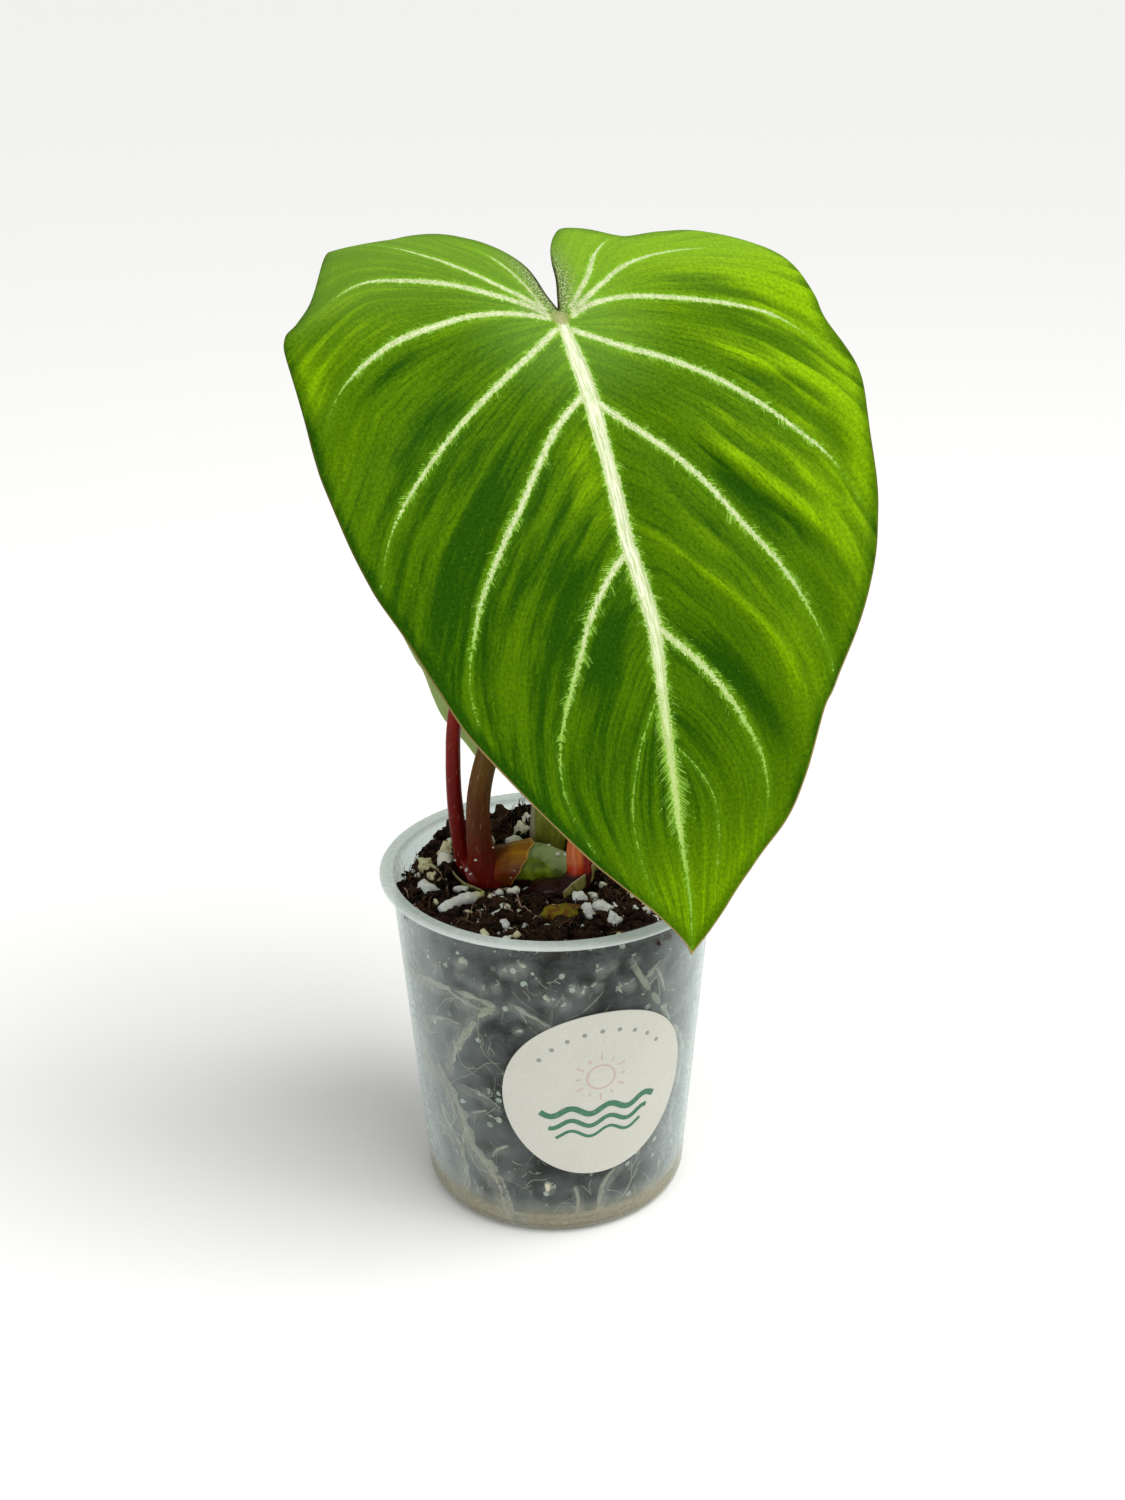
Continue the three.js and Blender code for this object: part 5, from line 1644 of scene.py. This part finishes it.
WALL_ROOTS = [
    [(-78, 78), (-46, 74), (-29, 73), (-14, 69)],
    [(-34, 62), (-42, 50), (-48, 35), (-40, 24), (-25, 10)],
    [(30, 81), (37, 73), (50, 60), (66, 44), (60, 26), (68, 10)],
    [(112, 70), (124, 52), (106, 34), (116, 12)],
    [(-108, 66), (-126, 46), (-112, 26), (-130, 10)],
    [(172, 62), (158, 40), (176, 22), (150, 10)],
    [(6, 34), (19, 21), (24, 14), (20, 10)],
]
FRONT_ROOTS = [
    ([(-80, 70), (-65, 69.5), (-53, 70.7), (-43, 71.5), (-33.6, 71.9), (-27.7, 71.4),
      (-22, 70.2)], 1.1),
    ([(-43, 71.3), (-36, 69.5), (-28, 68.7), (-22, 69.8)], 0.7),
    ([(-23, 69.8), (-28.2, 66.7), (-33.2, 62), (-38.9, 56.3), (-43, 52), (-45, 46)], 1.2),
    ([(-61, 45), (-54, 42.6), (-48.8, 40.8), (-44.9, 36.3), (-41.2, 30.9), (-38.9, 25.1),
      (-35, 21.8), (-28.4, 18.8), (-24, 14.7), (-21.7, 9.7), (-21, 5)], 1.8),
    ([(-50, 42), (-43, 33), (-37, 24), (-33, 20), (-26, 13), (-24, 6)], 1.3),
    ([(-57.5, 31), (-52.7, 26), (-46.7, 22.1), (-45, 18), (-43, 15), (-43, 8)], 0.7),
    ([(-41, 30), (-44, 22), (-44, 14), (-45, 9)], 0.45),
    ([(-15, 72.1), (-10, 69.8), (-3.5, 66.9), (2, 64)], 0.55),
    ([(43.8, 80.2), (39.2, 77.4), (34.4, 75)], 0.5),
    ([(40.6, 77.9), (43.8, 73.4), (46.3, 69.3)], 0.45),
    ([(27, 19), (22, 15.3), (19.9, 11.7), (18.9, 5)], 0.75),
    ([(8.2, 14.8), (9.5, 11), (9.7, 6)], 0.55),
    ([(-40, 42.4), (-29.4, 41.6), (-22.5, 38.8)], 0.3),
    ([(-36.3, 34.6), (-29, 37)], 0.3),
    ([(-28, 22.2), (-25.3, 25), (-20.1, 27.2)], 0.4),
    ([(-56.4, 58.9), (-45.4, 61.5), (-38, 61.8)], 0.35),
    ([(-60, 5.2), (-32, 5), (-11, 4.8), (8, 5), (28, 5.2), (56, 6)], 0.8),
]


def along_wall(route, spacing):
    """A smooth route on the wall, in degrees round the pot and millimetres up it."""
    flat = flowing([(a * MM_PER_DEGREE, z) for a, z in route], spacing)
    return [(a / MM_PER_DEGREE, z) for a, z in flat]


def wall_path(route, depth, spacing=0.8):
    """Points behind the wall, at a depth in millimetres under a seated gap of 0.3 mm."""
    return np.array([at_wall(a, z, -WALL - 0.3 - depth) for a, z in along_wall(route, spacing)])


def worn(points, path, sides, seed):
    """Lets a root swell and thin out along its length, as where soil hides half of it."""
    centres = np.repeat(path, sides, axis=0)
    spots = [Vector((p[0] * 0.35, p[1] * 0.35, p[2] * 0.35 + seed)) for p in path]
    swell = [1 + 0.5 * noise.noise(spot) for spot in spots]
    return centres + (points - centres) * np.repeat(swell, sides)[:, None]


wall_roots = []
for i, route in enumerate(WALL_ROOTS[2:6]):
    path = wall_path(route, 0.9)
    points, faces, places = tube(path, [1.1, 1.0, 0.8, 0.5], 8)
    wall_roots.append((worn(points, path, 8, i), faces, places))
for i, (route, radius) in enumerate(FRONT_ROOTS):
    path = wall_path(route, radius * 0.95)
    points, faces, places = tube(path, [radius * 0.8, radius, radius * 0.8], 10)
    wall_roots.append((knobbly(worn(points, path, 10, i), 0.15, 0.6, i), faces, places))
for i in range(430):
    angle, z = chance.uniform(-180, 180), chance.uniform(6, 80)
    heading = chance.gauss(-1.57, 0.9)
    route = [(angle, z)]
    step = chance.uniform(0.8, 4.5) if i < 130 else chance.uniform(0.4, 1.1)
    for _ in range(5):
        angle += math.cos(heading) * step / MM_PER_DEGREE
        z += math.sin(heading) * step
        heading += chance.uniform(-0.55, 0.55)
        route.append((angle, min(max(z, 4.6), 82)))
    radius = chance.uniform(0.09, 0.28)
    path = wall_path(route, radius * 1.6, 1.2)
    points, faces, places = tube(path, [radius, radius * 0.5], 4)
    wall_roots.append((worn(points, path, 4, angle), faces, places))


def root_skin():
    """Young root skin: cream and a little glossy, stained by the soil."""
    material, add, shader = new_material("cream_root_skin", 0.6, 1.4, 0.3)
    place = add("Attribute", out="Vector", attribute_name="place")
    cloud = add("TexNoise", place, 0.25, 3)
    spots = add("MapRange", add("TexNoise", place, 1.5, 3), 0.6, 0.75)
    color = add("Mix", add("MapRange", cloud, 0.35, 0.65), "#8f8468", "#bbb096")
    color = add("Mix", spots, color, "#7c6844")
    finish_skin(add, shader, color, cloud, (0.5, 0.7))
    return material


points, faces, places = merged(wall_roots)
roots = piece("wall_roots", points, faces, [root_skin()], {"place": places})
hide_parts("roots")
print(len(wall_roots), "roots along the wall")

# %% [markdown]
# ## The pot
#
# The pot is injection moulded polypropylene, 0.8 mm thick, the clear kind that lets roots see
# light. Moulded PP is never as clear as glass: it has a milky haze. The haze is a mix of a
# see-through shader and a white plastic one, a little more opaque at the thick rim. The shape is
# a lathe profile with its corners rounded, spun round the axis, and the floor has drain holes.

# %% Turn the pot
def arc(cx, cz, radius, start, end, steps):
    """Places on a round corner of the profile, from one angle to another."""
    angles = np.radians(np.linspace(start, end, steps))
    return [(cx + radius * math.cos(a), cz + radius * math.sin(a)) for a in angles]


outside = arc(31, 4, 4, -90, 0, 9)
outside += [(wall_radius(z), z) for z in np.linspace(6, 90.0, 72)]
outside += arc(42.35, 90.35, 0.35, 180, 90, 4)
outside += [(43.2, 90.7), (44.2, 90.7)] + arc(44.4, 91.3, 0.6, -90, 70, 8)
outside += [(44.0, 92.0), (43.2, 91.9), (42.2, 91.95)] + arc(41.7, 91.55, 0.4, 80, 180, 5)
inside_wall = [(wall_radius(z) - WALL, z) for z in np.linspace(90.4, 6, 30)]
inside_wall += arc(31, 4.2, 3.2, 0, -90, 7)
profile = outside + inside_wall
TURNS = 300
turns = [2 * math.pi * k / TURNS for k in range(TURNS)]
points = [[r * math.cos(angle), r * math.sin(angle), z] for r, z in profile for angle in turns]
faces = ring_faces(len(profile), TURNS)

# The floor is a flat sheet with drain holes, laid twice: 0 and 1 mm above the foot.
DRAINS, DRAIN_SIDES = 8, 24


def ring_at(x, y, radius, sides):
    """A closed ring of places on the floor."""
    turn = np.radians(np.arange(sides) * 360 / sides)
    return np.column_stack([x + radius * np.cos(turn), y + radius * np.sin(turn)])


bearings = [2 * math.pi * i / DRAINS for i in range(DRAINS)]
holes = [ring_at(24 * math.cos(b), 24 * math.sin(b), 3.5, DRAIN_SIDES) for b in bearings]
corners = [Vector(p) for p in np.vstack([ring_at(0, 0, 31, TURNS), *holes])]
hole_starts = [TURNS + i * DRAIN_SIDES for i in range(DRAINS)]
hole_edges = [edge for start in hole_starts for edge in loop_edges(DRAIN_SIDES, start)]
made = delaunay_2d_cdt(corners, loop_edges(TURNS) + hole_edges, [], 1, 1e-5, False)
flat = np.array([tuple(p) for p in made[0]])
middles = np.array([flat[list(f)].mean(axis=0) for f in made[2]])
drained = np.any([inside(middles, hole) for hole in holes], axis=0)
sheet = [face for face, open_there in zip(made[2], drained) if not open_there]
base, upper = len(points), len(points) + len(flat)
points += [[x, y, z] for z in (0.0, 1.0) for x, y in flat]
faces += [tuple(base + i for i in reversed(f)) for f in sheet]
faces += [tuple(upper + i for i in f) for f in sheet]
faces += [(base + a, base + b, upper + b, upper + a) for a, b in hole_edges]
pot_mesh_points = np.array(points)


def milky_plastic():
    """Injection moulded polypropylene: smooth and glossy, with a milky haze inside."""
    material, add, shader = new_material("milky_polypropylene", 0.28, 1.49)
    within = add("Attribute", out="Fac", attribute_name="within")
    body = add("TexCoord", out="Object")
    y, height = add("SeparateXYZ", body).node.outputs[1:3]
    cloud = add("TexNoise", body, 60, 4)
    dew = add("TexNoise", body, 600, 3, 0.6)

    # A paler, more opaque band at the foot, smears where roots touch the wall, a paler rim, and
    # painted light on the inner wall at the back, just above the soil.
    foot = add("MapRange", height, 0.0125, 0.005), add("MapRange", cloud, 0.2, 0.5, 0.5, 1)
    foot = add("MULTIPLY", *foot)
    smear = add("Attribute", out="Fac", attribute_name="smear")
    smear = add("MULTIPLY", smear, add("MapRange", dew, 0.35, 0.6, 0.5, 1))
    spread = add("VectorMath", body, (1, 1, 0), operation="MULTIPLY")
    spread = add("VectorMath", spread, operation="LENGTH")
    # A paler rim: partly the thicker plastic, partly a painted highlight on the outer lip.
    rim = add("MapRange", height, 0.0898, 0.0907, 0, 0.95)
    rim = add("MULTIPLY", rim, add("MapRange", spread, 0.0428, 0.0436, 0.5, 1))
    # Painted light: the inner wall at the back, just above the soil, is painted paler and hazier,
    # as where the bright room shows through.
    painted_back_light = add("MapRange", y, 0.005, 0.03), add("MapRange", height, 0.083, 0.088, 0, 0.3)
    # rim now holds the rim and this painted light.
    rim = add("ADD", rim, add("MULTIPLY", add("MULTIPLY", *painted_back_light), within))
    color = add("Mix", cloud, "#d5dfdd", "#e6efed")
    for share, code in (
        (foot, "#b3ab90"), (add("MULTIPLY", smear, 0.8), "#b6b29e"), (rim, "#f4faf8")
    ):
        color = add("Mix", share, color, code)

    # The haze is the share of light that the plastic stops. It is at most a half. Its rise towards
    # a glancing angle is a painted reflection of the pale room, and the painted light at the back
    # adds to it.
    facing = add("LayerWeight", 0.35, out="Facing")
    haze = add(
        "ADD",
        add("MapRange", add("TexNoise", body, 130, 4), 0.3, 0.7, 0.02, 0.08),
        add("MULTIPLY", smear, 0.26),
        add("MULTIPLY", foot, 0.27),
        add("MapRange", add("TexNoise", body, 240, 5, 0.75), 0.56, 0.72, 0, 0.06),
        add("MapRange", dew, 0.58, 0.72, 0, 0.04),
        add("MapRange", facing, 0.15, 0.9, 0, 0.5),
        rim,
    )
    haze = add("MINIMUM", haze, 0.5, use_clamp=True)
    clear = add("BsdfTransparent", "#eef4f3")
    fill(shader, dict(Base_Color=color, Roughness=add("MapRange", dew, 0.4, 0.7, 0.22, 0.38)))
    wall = add("MixShader", haze, clear, shader.outputs[0])
    fill(material.node_tree.nodes["Material Output"], dict(Surface=wall))
    return material


# Roots and grains that touch the wall leave a soft pale smear round them.
wall = pot_mesh_points[: len(outside) * TURNS]
bearing = np.arctan2(wall[:, 0], -wall[:, 1]) * 40
smear = np.zeros(len(pot_mesh_points))
touching = [(x, z, 0.8 * size) for x, z, size in WALL_GRAINS[:40]]
for route, radius in FRONT_ROOTS:
    touching += [(angle, z, radius) for angle, z in along_wall(route, 0.7)]
for angle, z, radius in touching:
    away = np.hypot(bearing - math.radians(angle) * 40, wall[:, 2] - z)
    near = 1 - smoothstep(away, 0.4 * radius, radius + 1.5)
    smear[: len(wall)] = np.maximum(smear[: len(wall)], near * min(1, 0.45 + 0.4 * radius))

within = np.zeros(len(pot_mesh_points))
within[len(outside) * TURNS : len(profile) * TURNS] = 1
pot = piece(
    "nursery_pot", pot_mesh_points, faces, [milky_plastic()], {"within": within, "smear": smear}
)
welded = bmesh.new()
welded.from_mesh(pot.data)
bmesh.ops.remove_doubles(welded, verts=welded.verts, dist=1e-6)
bmesh.ops.recalc_face_normals(welded, faces=welded.faces)
welded.to_mesh(pot.data)
welded.free()
pot.data.set_sharp_from_angle(angle=math.radians(50))
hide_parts("pot")
print("pot", len(pot.data.polygons), "faces")

# %% [markdown]
# ## The sticker
#
# A round sticker of uncoated paper, 50 mm across, is pressed onto the wall right of the front.
# It is drawn flat and wrapped: its width becomes an angle round the pot and its height stays.
# The print is a plain care design of our own, a sun over three lines of water under a row of
# dots. Each printed shape is a very thin raised solid, so its edge is sharp at any distance.

# %% Paper disc
LABEL_RADIUS, LABEL_ANGLE, LABEL_HEIGHT = 25, 17.5, 45


def wrapped(across, upward, out):
    """A point of the flat sticker, bent round the wall and set in front of it."""
    middle = wall_radius(LABEL_HEIGHT)
    return at_wall(LABEL_ANGLE + math.degrees(across / middle), LABEL_HEIGHT + upward, out)


RINGS, SIDES = 12, 120
points, faces = [], []
for out in (0.6, 0.3):
    points.append(wrapped(0, 0, out))
    for ring in range(1, RINGS + 1):
        reach = LABEL_RADIUS * ring / RINGS
        for k in range(SIDES):
            turn = 2 * math.pi * k / SIDES
            points.append(wrapped(reach * math.cos(turn), reach * math.sin(turn), out))
back_start = 1 + RINGS * SIDES
faces = [(a, d, c, b) for a, b, c, d in ring_faces(RINGS, SIDES, 1)]
faces += ring_faces(RINGS, SIDES, back_start + 1)
for a, b in loop_edges(SIDES, 1):
    faces += [(0, a, b), (back_start, back_start + b, back_start + a)]
for a, b in loop_edges(SIDES, back_start - SIDES):
    faces.append((a, back_start + a, back_start + b, b))


def uncoated_paper():
    """Uncoated paper, matt, with the pulp just showing. Its warm white is painted greyer: painted
    shade, as on the front of the pot.
    """
    material, add, shader = new_material("uncoated_sticker_paper", 0.7, 1.5, 0.3)
    body = add("TexCoord", out="Object")
    pulp = add("TexNoise", body, 1600, 4, 0.7)
    damp = add("MapRange", add("TexNoise", body, 70, 3), 0.4, 0.8, 0, 0.25)
    # Painted shade: the paper is painted grey, darker than its warm white, as the pot's front lies
    # in shade.
    color = add("Mix", add("MapRange", pulp, 0.3, 0.7), "#c5c4b8", "#cecdc3")
    color = add("Mix", damp, color, "#b8b7ab")
    finish_skin(add, shader, color, pulp, (0.65, 0.8), 0.2, 0.1)
    return material


label = piece("sticker_paper", points, faces, [uncoated_paper()])
label.data.set_sharp_from_angle(angle=math.radians(60))
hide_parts("label")
print("sticker", len(faces), "faces")


# %% [markdown]
# Ink lies on the paper as a film. Here each printed line is a band with four corners, wrapped
# round the wall like the paper, and just proud of it, so that it never flickers with the paper.

# %% Printed shapes
def printed_line(route, width):
    """A line of ink along a flat route on the sticker, as a thin closed solid."""
    route = np.asarray(route, dtype=float)
    ahead = np.gradient(route, axis=0)
    ahead /= np.linalg.norm(ahead, axis=1)[:, None]
    side = np.column_stack([-ahead[:, 1], ahead[:, 0]]) * width / 2
    points = []
    for (x, y), (sx, sy) in zip(route, side):
        for offset, out in ((1, 0.64), (-1, 0.64), (-1, 0.56), (1, 0.56)):
            points.append(wrapped(x + sx * offset, y + sy * offset, out))
    last = len(points) - 4
    faces = ring_faces(len(route), 4) + [(3, 2, 1, 0), (last, last + 1, last + 2, last + 3)]
    return np.array(points), faces, np.zeros((len(points), 3))


def circle_route(cx, cy, radius, steps=40):
    turn = np.radians(np.linspace(0, 360, steps))
    return np.column_stack([cx + radius * np.cos(turn), cy + radius * np.sin(turn)])


def ink(name, code):
    """Printing ink soaked into paper: flat, with paler pulp showing through."""
    material, add, shader = new_material(name, 0.6, 1.5, 0.3)
    pulp = add("TexNoise", add("TexCoord", out="Object"), 1600, 4, 0.7)
    paler = [0.75 * c + 0.25 * p for c, p in zip(srgb(code), srgb("#d8d6cc"))]
    fill(shader, dict(Base_Color=add("Mix", add("MapRange", pulp, 0.5, 0.8), code, paler)))
    return material


waves = []
for low, width in ((-4.5, 1.7), (-8.3, 1.3), (-11.6, 0.9)):
    span = 15.5 - abs(low + 4.5) * 0.55
    x = np.linspace(-span, span, 70)
    waves.append(printed_line(np.column_stack([x, low + 1.1 * np.sin(x * 0.62)]), width))
sun_lines = [printed_line(circle_route(0, 5.5, 3.6), 0.45)]
for i in range(12):
    turn = math.radians(30 * i)
    ray = [(5.2 + 0.4 * j) for j in range(6 if i % 2 else 4)]
    line = [(r * math.cos(turn), 5.5 + r * math.sin(turn)) for r in ray]
    sun_lines.append(printed_line(line, 0.4))
dots = []
for i in range(9):
    turn = math.radians(90 + (i - 4) * 13)
    dot = circle_route(19.5 * math.cos(turn), 19.5 * math.sin(turn), 0.3, 16)
    dots.append(printed_line(dot, 0.62))
for name, parts, color in (
    ("print_waves", waves, "#3d7358"),
    ("print_sun", sun_lines, "#c3ada3"),
    ("print_dots", dots, "#8f928b"),
):
    points, faces, places = merged(parts)
    shape = piece(name, points, faces, [ink(name + "_ink", color)], smooth=False)
    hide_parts("label")
print("printed", len(waves) + len(sun_lines) + len(dots), "shapes")


# %% [markdown]
# Last, the box round all visible pieces is put beside the CAD model's own box, and printed. The
# two should differ by very little.

# %% Gather the sizes and finish
size = {"cad": cad_box, "visual": [list(corner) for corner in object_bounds()]}
print("visual box:", size["visual"])
